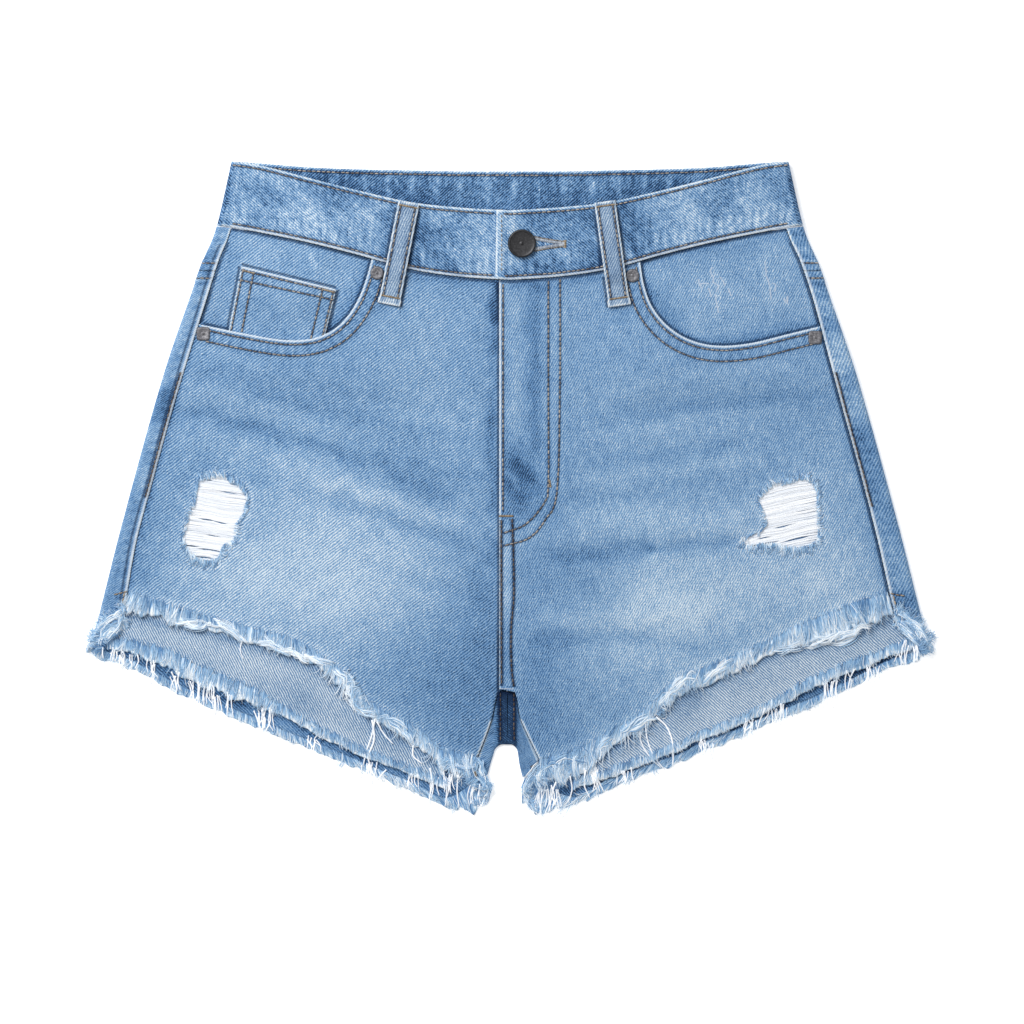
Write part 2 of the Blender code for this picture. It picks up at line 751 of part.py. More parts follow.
def back_hem(side):
    """The edge of the sound cloth of the back panel, from the inner leg to the side seam."""
    flat = [(row.across, row.back_tip + BACK_FRINGE) for row in hem_rows(side)[1:]]
    return BackLine([gusset_start(side)[-1], *flat], STRIP_HEM_FOLD, STRIP_HEM_SEAM, side)


def make_back_panel(side, word):
    """The floor side, the side fold and the strip on top, with the gusset sewn on by its points."""
    starts = gusset_start(side)
    top = BackLine(yoke_seam(side, -SEAM_GAP / 2), YOKE_SIDE - SEAM_GAP, YOKE_SIDE - SEAM_GAP, side)
    bottom = back_hem(side)
    corner = (BACK_ROWS - GUSSET_ROWS) / BACK_ROWS
    inner = Line([top.at(0), starts[0]], starts, corners=[corner])
    lines = top, bottom, inner, seam_line(side, YOKE_SIDE - SEAM_GAP, STRIP_HEM_SEAM)
    bm = sheet_between(side, lines, FLAT_COLUMNS + FOLD_COLUMNS, BACK_ROWS, place_back)
    gusset = make_gusset(side)
    extra = bpy.data.meshes.new("gusset")
    gusset.to_mesh(extra)
    gusset.free()
    bm.from_mesh(extra)
    bpy.data.meshes.remove(extra)
    bmesh.ops.remove_doubles(bm, verts=bm.verts, dist=0.00005)
    bmesh.ops.recalc_face_normals(bm, faces=bm.faces)
    add_sheet(f"back_panel_{word}", bm, CLOTH, DENIM)


def make_hem_facing(side, word):
    """The inner ply of the back hem, from just above the front hem down to its frayed edge."""
    rows = [row for row in hem_rows(side) if row.across > FACING_INNER]
    top = [(row.across, row.front_cloth + FACING_ABOVE_HEM) for row in rows]
    bottom = [(row.across, row.facing_cloth) for row in rows]
    lines = Line(top), Line(bottom), Line([top[0], bottom[0]]), Line([top[-1], bottom[-1]])
    bm = sheet_between(side, lines, HEM_COLUMNS, HEM_FACING_ROWS, place_hem_facing)
    add_sheet(f"hem_facing_{word}", bm, CLOTH, DENIM_INSIDE)


class Below:
    """A line that runs below another one, with a gap between them measured square to it."""

    def __init__(self, line, gap):
        self.line, self.gap = line, gap

    def at(self, share):
        along = self.line.at(min(share + 0.01, 1)) - self.line.at(max(share - 0.01, 0))
        return self.line.at(share) - Vector((0, self.gap * along.length / abs(along.x)))


def make_fringe(name, side, cloth, tip, size, place, gap=FRINGE_GAP, bulge=0):
    """A sheet from just below the edge of the sound cloth to the reach of its frayed threads."""
    cloth = Below(cloth, gap)
    inner, outer = [cloth.at(0), tip.at(0)], [cloth.at(1), tip.at(1)]
    inner.insert(1, (inner[0] + inner[1]) / 2 - Vector((bulge, 0)))
    lines = cloth, tip, Line(inner), Line(outer)
    add_sheet(name, sheet_between(side, lines, *size, place), CLOTH, FRAYED)


def make_fringes(side, word):
    rows = hem_rows(side)
    tips = [Vector((row.across, row.front_tip)) for row in rows]
    tips[-1].x = seam_across(side, tips[-1].y) - 2 * SEAM_GAP
    cloth = hem_run(side)
    cloth[-1].x -= 2 * SEAM_GAP
    name = f"fringe_front_{word}"
    make_fringe(name, side, Line(cloth), Line(tips), (FRONT_COLUMNS, 1), place_front)
    inner = [row for row in rows if row.across > FACING_INNER]
    cloth = Line([(row.across, row.facing_cloth) for row in inner])
    tip = Line([(row.across, row.facing_tip) for row in inner])
    size = HEM_COLUMNS, 1
    make_fringe(f"fringe_facing_{word}", side, cloth, tip, size, place_hem_facing)
    flat = [(row.across, row.back_tip) for row in rows] + [STRIP_TIP_UNDER]
    tip = BackLine(flat, STRIP_TIP_FOLD, STRIP_TIP_SEAM, side)
    name, size = f"fringe_back_{word}", (FLAT_COLUMNS + FOLD_COLUMNS, 2)
    shape = back_hem(side), tip, size, place_back, FRINGE_FOLD_GAP, FRINGE_BULGE
    make_fringe(name, side, *shape)


def top_of(side, across, height):
    """The upper surface under a belt loop: the waistband, or the front panel below it."""
    edge = band_edges(abs(across), True)[1]
    if height > edge - 1:
        return band_height(side, across) + BAND_WALL / 2
    return front_height(side, across, height) + CLOTH / 2


def make_front_loop(side, word):
    """A strap over the waistband, eased a little in the middle, its lower end on the panel."""
    top, bottom = (Vector(p) for p in LOOPS_FRONT[side])
    along = (bottom - top).normalized()
    half = Vector((-along.y, along.x)) * LOOP_WIDTH / 2

    def level(share):
        near = [min(max(share + step / LOOP_ROWS, 0), 1) for step in (-1, 0, 1)]
        points = [top.lerp(bottom, s) + half * w for s in near for w in (-1, 0, 1)]
        ease = LOOP_EASE * math.sin(math.pi * share)
        return max(top_of(side, *p) for p in points) + LAYER_GAP + LOOP_WALL / 2 + ease

    def place(u, v):
        at = top.lerp(bottom, v) + half * (2 * u - 1)
        return to_world(side, *at, level(v))

    add_sheet(f"belt_loop_front_{word}", grid(1, LOOP_ROWS, place), LOOP_WALL, DENIM)


def make_back_loop(word, across):
    """A strap lying between the floor and the waistband."""
    top = band_edges(abs(across), False)[0]
    size = Matrix.Diagonal((LOOP_WIDTH * MM, LOOP_LENGTH_BACK * MM, CLOTH * MM, 1))
    bm = bmesh.new()
    bmesh.ops.create_cube(bm, size=1, matrix=size)
    mesh = bpy.data.meshes.new(f"belt_loop_back_{word}")
    bm.to_mesh(mesh)
    bm.free()
    obj = add_object(f"belt_loop_back_{word}", mesh, DENIM)
    obj.location = Vector((across, top - LOOP_LENGTH_BACK / 2, CLOTH / 2)) * MM
    bevel = obj.modifiers.new("Edges", "BEVEL")
    bevel.width = 0.3 * MM
    bevel.segments = 1


def make_back_pocket(side, word):
    """A five-sided patch flat on the floor, under the seat."""
    half_top, half_bottom = POCKET_TOP_WIDTH / 2, POCKET_BOTTOM_WIDTH / 2
    outline = (
        (-half_top, -POCKET_TILT),
        (-half_bottom, -POCKET_SIDE_HEIGHT),
        (0, -POCKET_POINT_HEIGHT),
        (half_bottom, -POCKET_SIDE_HEIGHT + POCKET_TILT),
        (half_top, 0),
    )
    curve = bpy.data.curves.new(f"back_pocket_{word}", "CURVE")
    curve.dimensions = "2D"
    curve.fill_mode = "BOTH"
    curve.extrude = CLOTH / 2 * MM
    line = curve.splines.new("POLY")
    line.points.add(len(outline) - 1)
    line.use_cyclic_u = True
    for point, (x, y) in zip(line.points, outline):
        point.co = (side * x * MM, y * MM, 0, 1)
    obj = add_object(f"back_pocket_{word}", curve, DENIM)
    obj.location = Vector((side * POCKET_CENTRE, POCKET_TOP, CLOTH / 2)) * MM


def make_button():
    """A dished cap with a raised rim, on the lapped end of the waistband."""
    radius, tall = BUTTON_RADIUS, BUTTON_HEIGHT
    profile = (
        (0, tall - 0.5),
        (radius * 0.62, tall - 0.6),
        (radius * 0.74, tall - 0.15),
        (radius * 0.86, tall),
        (radius * 0.97, tall - 0.5),
        (radius, tall - 1.2),
        (radius * 0.94, 0.9),
        (radius * 0.45, 0.7),
        (radius * 0.4, 0),
        (0, 0),
    )
    base = band_height(RIGHT, BUTTON_AT[0]) + BAND_WALL / 2 + LAYER_GAP
    add_turned("button", profile, (*BUTTON_AT, base), 24, BUTTON_METAL)


def make_rivets():
    radius, tall = RIVET_RADIUS, RIVET_HEIGHT
    profile = (
        (0, tall),
        (radius * 0.28, tall * 0.9),
        (radius * 0.42, tall * 0.55),
        (radius * 0.7, tall * 0.75),
        (radius * 0.95, tall * 0.45),
        (radius, 0),
        (0, 0),
    )
    for word, side, across, height in RIVETS:
        around = [(across + a, height + b) for a in (-radius, 0, radius) for b in (-radius, 0, radius)]
        base = max(front_height(side, *p) for p in around) + CLOTH / 2 + LAYER_GAP
        add_turned(f"rivet_{word}", profile, (side * across, height, base), 16, RIVET_METAL)


clear_scene()
SHORTS = bpy.data.collections.new("denim_shorts")
bpy.context.scene.collection.children.link(SHORTS)

make_waistband()
for side, word in SIDES:
    make_front_panel(side, word)
    make_pocket_facing(side, word)
    make_yoke(side, word)
    make_back_panel(side, word)
    make_hem_facing(side, word)
    make_fringes(side, word)
    make_front_loop(side, word)
    make_back_pocket(side, word)
make_coin_pocket()
for word, across in LOOPS_BACK:
    make_back_loop(word, across)
make_button()
make_rivets()
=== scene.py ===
"""Denim shorts laid flat, front side up: the visible cloth, thread and metal, for Blender 4.5.

Lengths in the tables and functions are in millimetres, and meshes are in metres. "Left" is -X and
"right" is +X. A point of the cloth has two coordinates: across, measured over the cloth from the
centre line outwards, and height, along Y. Where a back piece reaches the side of the shorts it
turns over the fold and comes back on top.
"""

import functools
import math
from collections import namedtuple

import bmesh
import bpy
import numpy as np
from bpy.props import FloatProperty, FloatVectorProperty, PointerProperty
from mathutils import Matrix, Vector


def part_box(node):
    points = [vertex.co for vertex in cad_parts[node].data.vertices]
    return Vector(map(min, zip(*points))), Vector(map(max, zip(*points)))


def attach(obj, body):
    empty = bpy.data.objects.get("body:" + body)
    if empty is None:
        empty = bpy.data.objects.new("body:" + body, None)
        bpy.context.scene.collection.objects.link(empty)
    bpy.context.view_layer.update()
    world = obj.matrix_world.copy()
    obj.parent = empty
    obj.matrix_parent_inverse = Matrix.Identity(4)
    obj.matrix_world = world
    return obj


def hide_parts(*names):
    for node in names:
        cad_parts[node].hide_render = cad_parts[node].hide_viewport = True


bl_info = {
    "name": "Denim Shorts Laid Flat",
    "version": (1, 0, 0),
    "blender": (4, 5, 0),
    "location": "3D View > Sidebar > Shorts",
    "description": "Makes the cloth, stitching, frayed hems and metal of denim shorts laid flat",
    "category": "Object",
}

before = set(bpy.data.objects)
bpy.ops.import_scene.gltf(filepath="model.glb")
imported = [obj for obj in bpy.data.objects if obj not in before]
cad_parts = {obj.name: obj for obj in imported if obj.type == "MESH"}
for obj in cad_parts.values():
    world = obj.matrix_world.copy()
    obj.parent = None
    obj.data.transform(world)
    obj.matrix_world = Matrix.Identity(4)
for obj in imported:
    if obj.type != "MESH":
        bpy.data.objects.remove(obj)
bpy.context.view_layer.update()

MM = 0.001
LEFT, RIGHT = -1, 1
SIDES = ((LEFT, "left"), (RIGHT, "right"))

# ---- sizes shared with the solids ----

CLOTH, BAND_WALL, LOOP_WALL = 1.2, 2.4, 1.4
SEAM_GAP, LAYER_GAP = 0.4, 0.3
LAYER_STEP = CLOTH + LAYER_GAP
SIDE_FOLD, GUSSET_FOLD, BAND_FOLD = 2.5, 1.5, 2.6

# Heights of the middle of each layer
THIGH_HEIGHT, THIGH_SEAM_HEIGHT = 4.0, 5.3
HIP_CENTRE_HEIGHT, HIP_SIDE_HEIGHT = 4.6, 6.95
WAIST_BELOW_BAND, WAIST_RISE = 0.9, 34
LAP_RISE = 1.6
STRIP_HEIGHT, GUSSET_HEIGHT = 5.6, 2.5
BAND_BACK_HEIGHT = LAYER_STEP + BAND_WALL / 2
BAND_UNDERLAP_HEIGHT = BAND_BACK_HEIGHT + BAND_WALL + LAYER_GAP
BAND_OVERLAP_HEIGHT = BAND_UNDERLAP_HEIGHT + BAND_WALL + LAYER_GAP
BAND_FOLD_HEIGHT = BAND_BACK_HEIGHT + 2 * BAND_FOLD

# Distances over which one height passes into the next
THIGH_EASE, HIP_RISE, HIP_EASE = 60, (35, 80), (40, 76)
LAP_ACROSS, LAP_ALONG = (14, 70), (-150, -116)
UNDERLAP_EASE, OVERLAP_EASE = (40, 110), (100, 160)
POCKET_MARGIN, POCKET_FALL = 16, 40

CENTRE_BACK = -1.8
BAND_UNDERLAP_END, BAND_OVERLAP_END = 22, -8


def table(kind, *rows):
    return tuple(kind(*row) for row in rows)


Side = namedtuple("Side", "height half_width seam_left seam_right")
SIDE = table(
    Side,
    (198, 167, 9, 10), (157, 176.4, 9.4, 10.8), (137, 184.5, 9.9, 10.6), (113, 193, 10.8, 11),
    (77, 205.5, 12, 13.8), (41, 216.3, 12, 14.8), (5, 226.2, 12, 14.8), (-31, 235.8, 11.8, 15.2),
    (-67, 244.8, 14.4, 16), (-85, 249.5, 15, 15.8), (-97, 254.5, 16, 16), (-112, 257, 16, 16),
)
Band = namedtuple("Band", "across front_top front_bottom back_top back_bottom")
BAND = table(
    Band,
    (0, 167.1, 125.4, 190.8, 150.6), (30, 168.9, 127.5, 190.8, 150.9),
    (60, 172.2, 132, 191.4, 151.5), (90, 178.8, 140.2, 192, 152.4),
    (120, 186.3, 147.7, 193.2, 153.6), (150, 194.1, 153.9, 195.6, 155.4),
    (172, 197.2, 157.9, 197.2, 157.9),
)
BAND_END = BAND[-1].across
# The edge of each pocket mouth, and the front panel's edge at the centre
SCOOP = {
    LEFT: (
        (83, 138), (86.5, 125.5), (91, 114), (98, 103), (107, 95), (119, 90.2), (136, 89.5),
        (160, 93.4), (186, 98.8),
    ),
    RIGHT: (
        (78, 136.5), (80.5, 122), (85.5, 109), (95, 97.5), (108, 89.5), (124, 86), (144, 87.4),
        (168, 93.2), (186, 97.6),
    ),
}
FRONT_INNER = {
    LEFT: ((-8, 125), (-8, -16), (-4, -30), (-2, -116)),
    RIGHT: ((-6.5, 125), (-6.5, -16), (-6.5, -30), (-6.5, -120)),
}
# The fold at the crotch and inner leg, and the edge of the cloth that comes over it
Gusset = namedtuple("Gusset", "fold_across fold_height edge_across edge_height")
GUSSET = {
    LEFT: table(
        Gusset,
        (1.95, -153.6, 1.95, -121.4), (5.6, -153.8, 6.6, -122.2), (8.2, -155.8, 8.4, -127.5),
        (9.6, -159.5, 10.6, -138), (11.2, -164, 14.6, -149.5), (13.2, -171, 19.2, -161),
    ),
    RIGHT: table(
        Gusset,
        (-1.65, -153.6, -1.65, -121.4), (1.4, -153.8, 2.6, -122), (3.4, -155.8, 4.2, -127.5),
        (4.4, -159.5, 6, -138), (5.4, -165, 11.6, -150.5), (7.4, -173, 17.4, -162.6),
    ),
}
# Where the sound cloth and the frayed edge of each layer end
Hem = namedtuple("Hem", "across front_cloth front_tip facing_cloth facing_tip back_tip")
HEM = {
    LEFT: table(
        Hem,
        (20, -162.5, -180.5, -180.6, -184.8, -197.2),
        (38, -156.6, -170.4, -176.4, -181.2, -191.5),
        (59, -142.2, -152.4, -168.6, -172.8, -182.2), (82, -130, -140.4, -159.6, -163.8, -173.2),
        (100, -110.4, -122.4, -151.8, -155.9, -165.4),
        (117, -98.4, -107.4, -142.8, -148.2, -158.3),
        (135, -89.4, -100.2, -132.6, -138.6, -151.6), (157, -84, -92.6, -119.4, -130.8, -142),
        (180, -78, -87.4, -109.8, -123, -132.6), (205, -70.2, -81.6, -98.4, -111, -120.6),
        (229, -62.4, -75.6, -92.4, -99.6, -108.4),
    ),
    RIGHT: table(
        Hem,
        (15, -163.6, -182, -180.6, -184.8, -197.2), (38, -157.8, -175.2, -177, -181.4, -191),
        (59, -146.4, -158.4, -169.8, -174, -181), (82, -132, -142.8, -161.4, -166.2, -172.4),
        (100, -114.6, -128, -154.2, -158.4, -166), (117, -108, -119.4, -146.4, -150.8, -158),
        (135, -100.8, -110.4, -139.2, -143.6, -151), (157, -90.6, -100.8, -129, -133.6, -141.4),
        (180, -79.2, -94.8, -115.2, -121.8, -132.2), (205, -69.6, -88.6, -105, -111.6, -120.4),
        (229, -61.8, -79.2, -96, -100.8, -108.6),
    ),
}
FACING_END = {LEFT: Hem(242, -82, 0, -90.5, -98, 0), RIGHT: Hem(242, -82, 0, -91.2, -97, 0)}
BACK_FRINGE = 6
FACING_ABOVE_HEM, FACING_INNER = 12, 23
HEM_PLY_STEP = LAYER_STEP + 0.2
STRIP_HEM_FOLD, STRIP_HEM_SEAM = -93, -73.8
STRIP_TIP_FOLD, STRIP_TIP_SEAM, STRIP_TIP_UNDER = -98.5, -83, (248, -103)

YOKE_CENTRE, YOKE_SIDE = 113, 131
YOKE_BEND_ACROSS, YOKE_BEND_SHARE = 110, 0.55
BEND_SHARE, ON_TOP_SHARE = 0.75, 0.27
SEAM_STEPS = 20

FACING_UNDER_FRONT = 8
FACING_TOP_DROP, FACING_EDGE_DROP = 0.4, LAYER_STEP
FACING_RISE_LENGTH = 34
COIN_STEP, COIN_DROP = LAYER_STEP + 0.25, 1.85
COIN_CLEAR, COIN_FALL = 2, 18
COIN_TOP = np.array(((104.2, 119.7), (161, 133.6)))
COIN_BOTTOM = np.array(((112.2, 87.4), (169.4, 92)))
COIN_WIDE, COIN_TALL = 57.5, 44

LOOP_WIDTH, LOOP_EASE, LOOP_ROWS = 12.7, 0.8, 10
LOOPS_FRONT = {LEFT: ((60.6, 171.9), (72.6, 110.6)), RIGHT: ((56.8, 172.3), (65.7, 109.8))}
LOOP_LENGTH_BACK = 62
LOOPS_BACK = (("left", -98), ("centre", CENTRE_BACK), ("right", 98))

POCKET_CENTRE, POCKET_TOP = 100.5, 104
POCKET_TOP_WIDTH, POCKET_BOTTOM_WIDTH = 126, 110
POCKET_SIDE_HEIGHT, POCKET_POINT_HEIGHT = 128, 140
POCKET_TILT = 6
# About its mean width and length, and how far its edges are from its middle
POCKET_WIDE, POCKET_TALL, POCKET_REACH = 118, 130, 62

# ---- the visible shells ----

SHELL, BAND_SHELL, LOOP_SHELL, FRAYED_SHELL = 1.0, 2.1, 1.2, 0.8
LOWEST = 0.4
WAIST_SHARE = 5 / 15
CENTRE_SHARES = (10 / 14, 11 / 14)
FLAT_COLUMNS, FOLD_COLUMNS = 66, 24
BACK_COLUMNS = FLAT_COLUMNS + FOLD_COLUMNS
FLAT_SHARE = FLAT_COLUMNS / BACK_COLUMNS
BACK_CORNER = 10 / 16
# Columns and rows of the grids that the pieces are made from, and steps round the caps
FRONT_GRID, FACING_GRID, COIN_GRID = (156, 168), (84, 48), (48, 38)
BACK_GRID, GUSSET_GRID, YOKE_GRID = (BACK_COLUMNS, 92), (16, 36), (BACK_COLUMNS, 22)
BACK_POCKET_GRID, HEM_FACING_GRID = (40, 40), (130, 26)
FRONT_LOOP_GRID, BACK_LOOP_GRID = (14, 64), (10, 40)
BUTTON_STEPS, RIVET_STEPS = 64, 40


# ---- small maths ----


def smooth(value, start, end):
    """0 before start, 1 after end, with a soft turn at both."""
    share = np.clip((value - start) / (end - start), 0, 1)
    return share * share * (3 - 2 * share)


def mix(a, b, share):
    return a + (b - a) * share


def bump(value, middle, width):
    """1 at the middle, falling softly to 0 a few widths away."""
    return np.exp(-(((value - middle) / width) ** 2))


def half_turn(turn):
    """From 0 to 1 as a fold turns from 0 to pi."""
    return (1 - np.cos(turn)) / 2


def pairs(a, b):
    """Two columns side by side; a number fills its column."""
    return np.stack(np.broadcast_arrays(a, b), axis=1).astype(float)


def unit(vectors):
    """Vectors drawn out or in to a length of 1."""
    return vectors / np.maximum(np.linalg.norm(vectors, axis=-1, keepdims=True), 1e-9)


def left_of(ways):
    """The ways turned a quarter round to the left."""
    return np.stack([-ways[..., 1], ways[..., 0]], axis=-1)


def spline(points, steps=8):
    """Points on a smooth line through the given ones."""
    points = np.asarray(points, float)
    ends = np.vstack([points[0] * 2 - points[1], points, points[-1] * 2 - points[-2]])
    t = (np.arange(steps) / steps)[:, None]
    parts = [
        0.5 * (b * 2 + (c - a) * t + (a * 2 - b * 5 + c * 4 - d) * t**2
               + (b * 3 - a - c * 3 + d) * t**3)
        for a, b, c, d in zip(ends, ends[1:], ends[2:], ends[3:])
    ]
    return np.vstack([*parts, points[-1:]])


def lengths_along(line):
    steps = np.linalg.norm(np.diff(line, axis=0), axis=1)
    return np.concatenate([[0], np.cumsum(steps)])


def at_lengths(line, lengths):
    """Points of a polyline at the given lengths along it."""
    along = lengths_along(line)
    return np.stack([np.interp(lengths, along, column) for column in line.T], axis=-1)


def beside(points, distance):
    """Points moved sideways from the line through them, to its left going along it."""
    points = np.asarray(points, float)
    return points + left_of(unit(np.gradient(points, axis=0))) * distance


class Line:
    """A line on the cloth made of runs, each smooth, with corners between them. It is read by
    shares from 0 to 1, and corners gives the share at which each run but the last ends."""

    def __init__(self, *runs, corners=()):
        shares, points = [], []
        for run, start, end in zip(runs, [0, *corners], [*corners, 1]):
            curve = spline(run)
            along = lengths_along(curve)
            shares.append(start + (end - start) * along / along[-1])
            points.append(curve)
        self.shares, self.points = np.concatenate(shares), np.concatenate(points)

    def at(self, shares):
        return np.stack([np.interp(shares, self.shares, c) for c in self.points.T], axis=-1)


@functools.cache
def column_curve(rows, column):
    return spline(sorted((row[0], getattr(row, column)) for row in rows))


def read(rows, column, value):
    """The value of a column where the table's first column has the given value; past the ends of
    the table it stays at the last row's."""
    curve = column_curve(rows, column)
    return np.interp(value, curve[:, 0], curve[:, 1])


def near_line(line, x, y):
    """How far each point lies to the left of a polyline, going along it, and how far along."""
    line = np.asarray(line, float)
    start, way = line[:-1], np.diff(line, axis=0)
    length = np.hypot(*way.T)
    dx, dy = x[:, None] - start[:, 0], y[:, None] - start[:, 1]
    share = np.clip((dx * way[:, 0] + dy * way[:, 1]) / length**2, 0, 1)
    far = np.hypot(dx - share * way[:, 0], dy - share * way[:, 1])
    nearest = far.argmin(axis=1)
    row = np.arange(len(x))
    turn = way[nearest, 0] * dy[row, nearest] - way[nearest, 1] * dx[row, nearest]
    along = (np.cumsum(length) - length)[nearest] + share[row, nearest] * length[nearest]
    return np.where(turn < 0, -1, 1) * far[row, nearest], along


LATTICE = 64


@functools.cache
def lattice(seed):
    return np.random.default_rng(seed).uniform(-1, 1, (LATTICE, LATTICE))


def ripple(x, y, size, seed):
    """Soft uneven hills between -1 and 1, about size apart."""
    hills = lattice(seed)
    u, v = x / size + 8 * LATTICE, y / size + 8 * LATTICE
    i, j = np.floor(u).astype(int), np.floor(v).astype(int)
    s, t = smooth(u - i, 0, 1), smooth(v - j, 0, 1)
    i, j = i % LATTICE, j % LATTICE
    k, m = (i + 1) % LATTICE, (j + 1) % LATTICE
    return mix(mix(hills[i, j], hills[k, j], s), mix(hills[i, m], hills[k, m], s), t)


def puckers(along, pitch, hills, pull=2):
    """Even waves between -1 and 1, pulled about by uneven hills."""
    return np.sin(along * 2 * math.pi / pitch + pull * hills)


# ---- places on the cloth ----


def half_width(height):
    return read(SIDE, "half_width", height)


def seam_across(side, height):
    """Where the side seam lies on the front, from the centre line."""
    return half_width(height) - read(SIDE, "seam_left" if side == LEFT else "seam_right", height)


def band_edges(across, face):
    """The heights of the waistband's top and bottom edges; face is front or back."""
    across = np.abs(across)
    return read(BAND, f"{face}_top", across), read(BAND, f"{face}_bottom", across)


def waist(across):
    """The height of the waist seam on the front."""
    return band_edges(across, "front")[1]


def hip_lift(height):
    return smooth(height, *HIP_EASE)


def back_height(across, height):
    """The seat lies on the floor, or higher where a back pocket or a belt loop is under it."""
    past_side = np.maximum(np.abs(across - POCKET_CENTRE) - POCKET_TOP_WIDTH / 2, 0)
    below = np.maximum(POCKET_TOP - POCKET_POINT_HEIGHT - height, 0)
    pocket = 1 - smooth(np.hypot(past_side, below), POCKET_MARGIN, POCKET_FALL)
    return CLOTH / 2 + LAYER_STEP * np.maximum(hip_lift(height), pocket)


def strip_height(height):
    return STRIP_HEIGHT + LAYER_STEP * hip_lift(height)


def band_height(side, across):
    """The middle of the waistband's front, the left end under the right one."""
    under = mix(BAND_UNDERLAP_HEIGHT, BAND_FOLD_HEIGHT, smooth(across, *UNDERLAP_EASE))
    over = mix(BAND_OVERLAP_HEIGHT, BAND_FOLD_HEIGHT, smooth(across, *OVERLAP_EASE))
    return np.where(np.equal(side, LEFT), under, over)


def front_height(side, across, height):
    """The middle of the front panel: close to the back at the thigh, higher over the pockets, and
    up to the waistband at the top."""
    inset = seam_across(side, height) - across
    thigh = mix(THIGH_SEAM_HEIGHT, THIGH_HEIGHT, smooth(inset, 0, THIGH_EASE))
    hip = mix(HIP_CENTRE_HEIGHT, HIP_SIDE_HEIGHT, smooth(across, *HIP_RISE))
    lap = LAP_RISE * (1 - smooth(across, *LAP_ACROSS)) * smooth(height, *LAP_ALONG)
    level = mix(thigh, hip, hip_lift(height)) + lap * (side == RIGHT)
    seam = waist(across)
    at_band = band_height(side, across) - WAIST_BELOW_BAND
    return mix(level, at_band, smooth(height, seam - WAIST_RISE, seam))


@functools.cache
def scoop_line(side):
    return spline(SCOOP[side])


def inside_mouth(side, across, height):
    """How far a point lies inside the pocket mouth from its edge, and how far along the edge."""
    across, height = np.broadcast_arrays(np.asarray(across, float), np.asarray(height, float))
    far, along = near_line(scoop_line(side), across.ravel(), height.ravel())
    return far.reshape(across.shape), along.reshape(across.shape)


def pocket_facing_height(side, across, height):
    """The facing meets the waistband and side seam near the front's level, and dips under the
    mouth's edge, on the left also under the coin pocket."""
    near_edge = 1 - smooth(inside_mouth(side, across, height)[0], 0, FACING_RISE_LENGTH)
    drop = mix(FACING_TOP_DROP, FACING_EDGE_DROP, near_edge)
    if side == LEFT:
        past_coin = np.maximum(across - COIN_BOTTOM[1, 0], COIN_BOTTOM[0, 0] - across)
        drop = drop + COIN_DROP * near_edge * (1 - smooth(past_coin, COIN_CLEAR, COIN_FALL))
    return front_height(side, across, height) - drop


def to_world(side, across, height, level):
    across, height, level = np.broadcast_arrays(side * across, height, level)
    return np.stack([across, height, level], axis=-1).astype(float)


def fold_start(height, wall=CLOTH, fold=SIDE_FOLD):
    return half_width(height) - wall / 2 - fold


def fold_middle(height):
    return fold_start(height) + math.pi * SIDE_FOLD / 2


def seam_over_fold(side, height):
    """The side seam's distance from the centre, measured over the cloth of the back piece."""
    start = fold_start(height)
    return start + math.pi * SIDE_FOLD + start - seam_across(side, height) - SEAM_GAP / 2


def place_back(side, across, height, lift=0):
    """A point of a back piece, on the floor side, in the fold, or back on top. lift moves it out
    of the garment."""
    start = fold_start(height)
    low = back_height(np.minimum(across, start), height)
    turn = np.clip((across - start) / SIDE_FOLD, 0, math.pi)
    past = np.maximum(across - start - math.pi * SIDE_FOLD, 0)
    out = np.minimum(across, start) + (SIDE_FOLD + lift) * np.sin(turn) - past
    level = mix(low, strip_height(height), half_turn(turn)) - lift * np.cos(turn)
    return to_world(side, out, height, level)


# ---- relief, wear and painted shade of the cloth ----

# Places in the next tables are squares of a drawing, 0.6 mm each, counted from its top left corner.
SQUARE = 0.6
MIDDLE_COLUMN, MIDDLE_ROW = 510, 489


def drawn(column, row):
    return (column - MIDDLE_COLUMN) * SQUARE, (MIDDLE_ROW - row) * SQUARE


def from_drawing(side, row, smoothed=True):
    """A row of the drawing as a line on one side's cloth."""
    points = np.array([drawn(*place) for place in row]) * (side, 1)
    return spline(points) if smoothed else points


def strokes(table, x, y, wander=2.6):
    """What the soft strokes of a table add at each place. A row gives the column and row of each
    end, how far the stroke fades out and what it adds; wander makes its edges uneven."""
    x, y = x + wander * ripple(x, y, 11, 31), y + wander * ripple(x, y, 11, 32)
    total = np.zeros_like(x)
    for *ends, width, amount in table:
        (x1, y1), (x2, y2) = drawn(*ends[:2]), drawn(*ends[2:])
        way = (x2 - x1) ** 2 + (y2 - y1) ** 2
        share = np.clip(((x - x1) * (x2 - x1) + (y - y1) * (y2 - y1)) / max(way, 1e-9), 0, 1)
        far = np.hypot(x - x1 - share * (x2 - x1), y - y1 - share * (y2 - y1))
        total += amount * bump(far, 0, width * SQUARE)
    return total


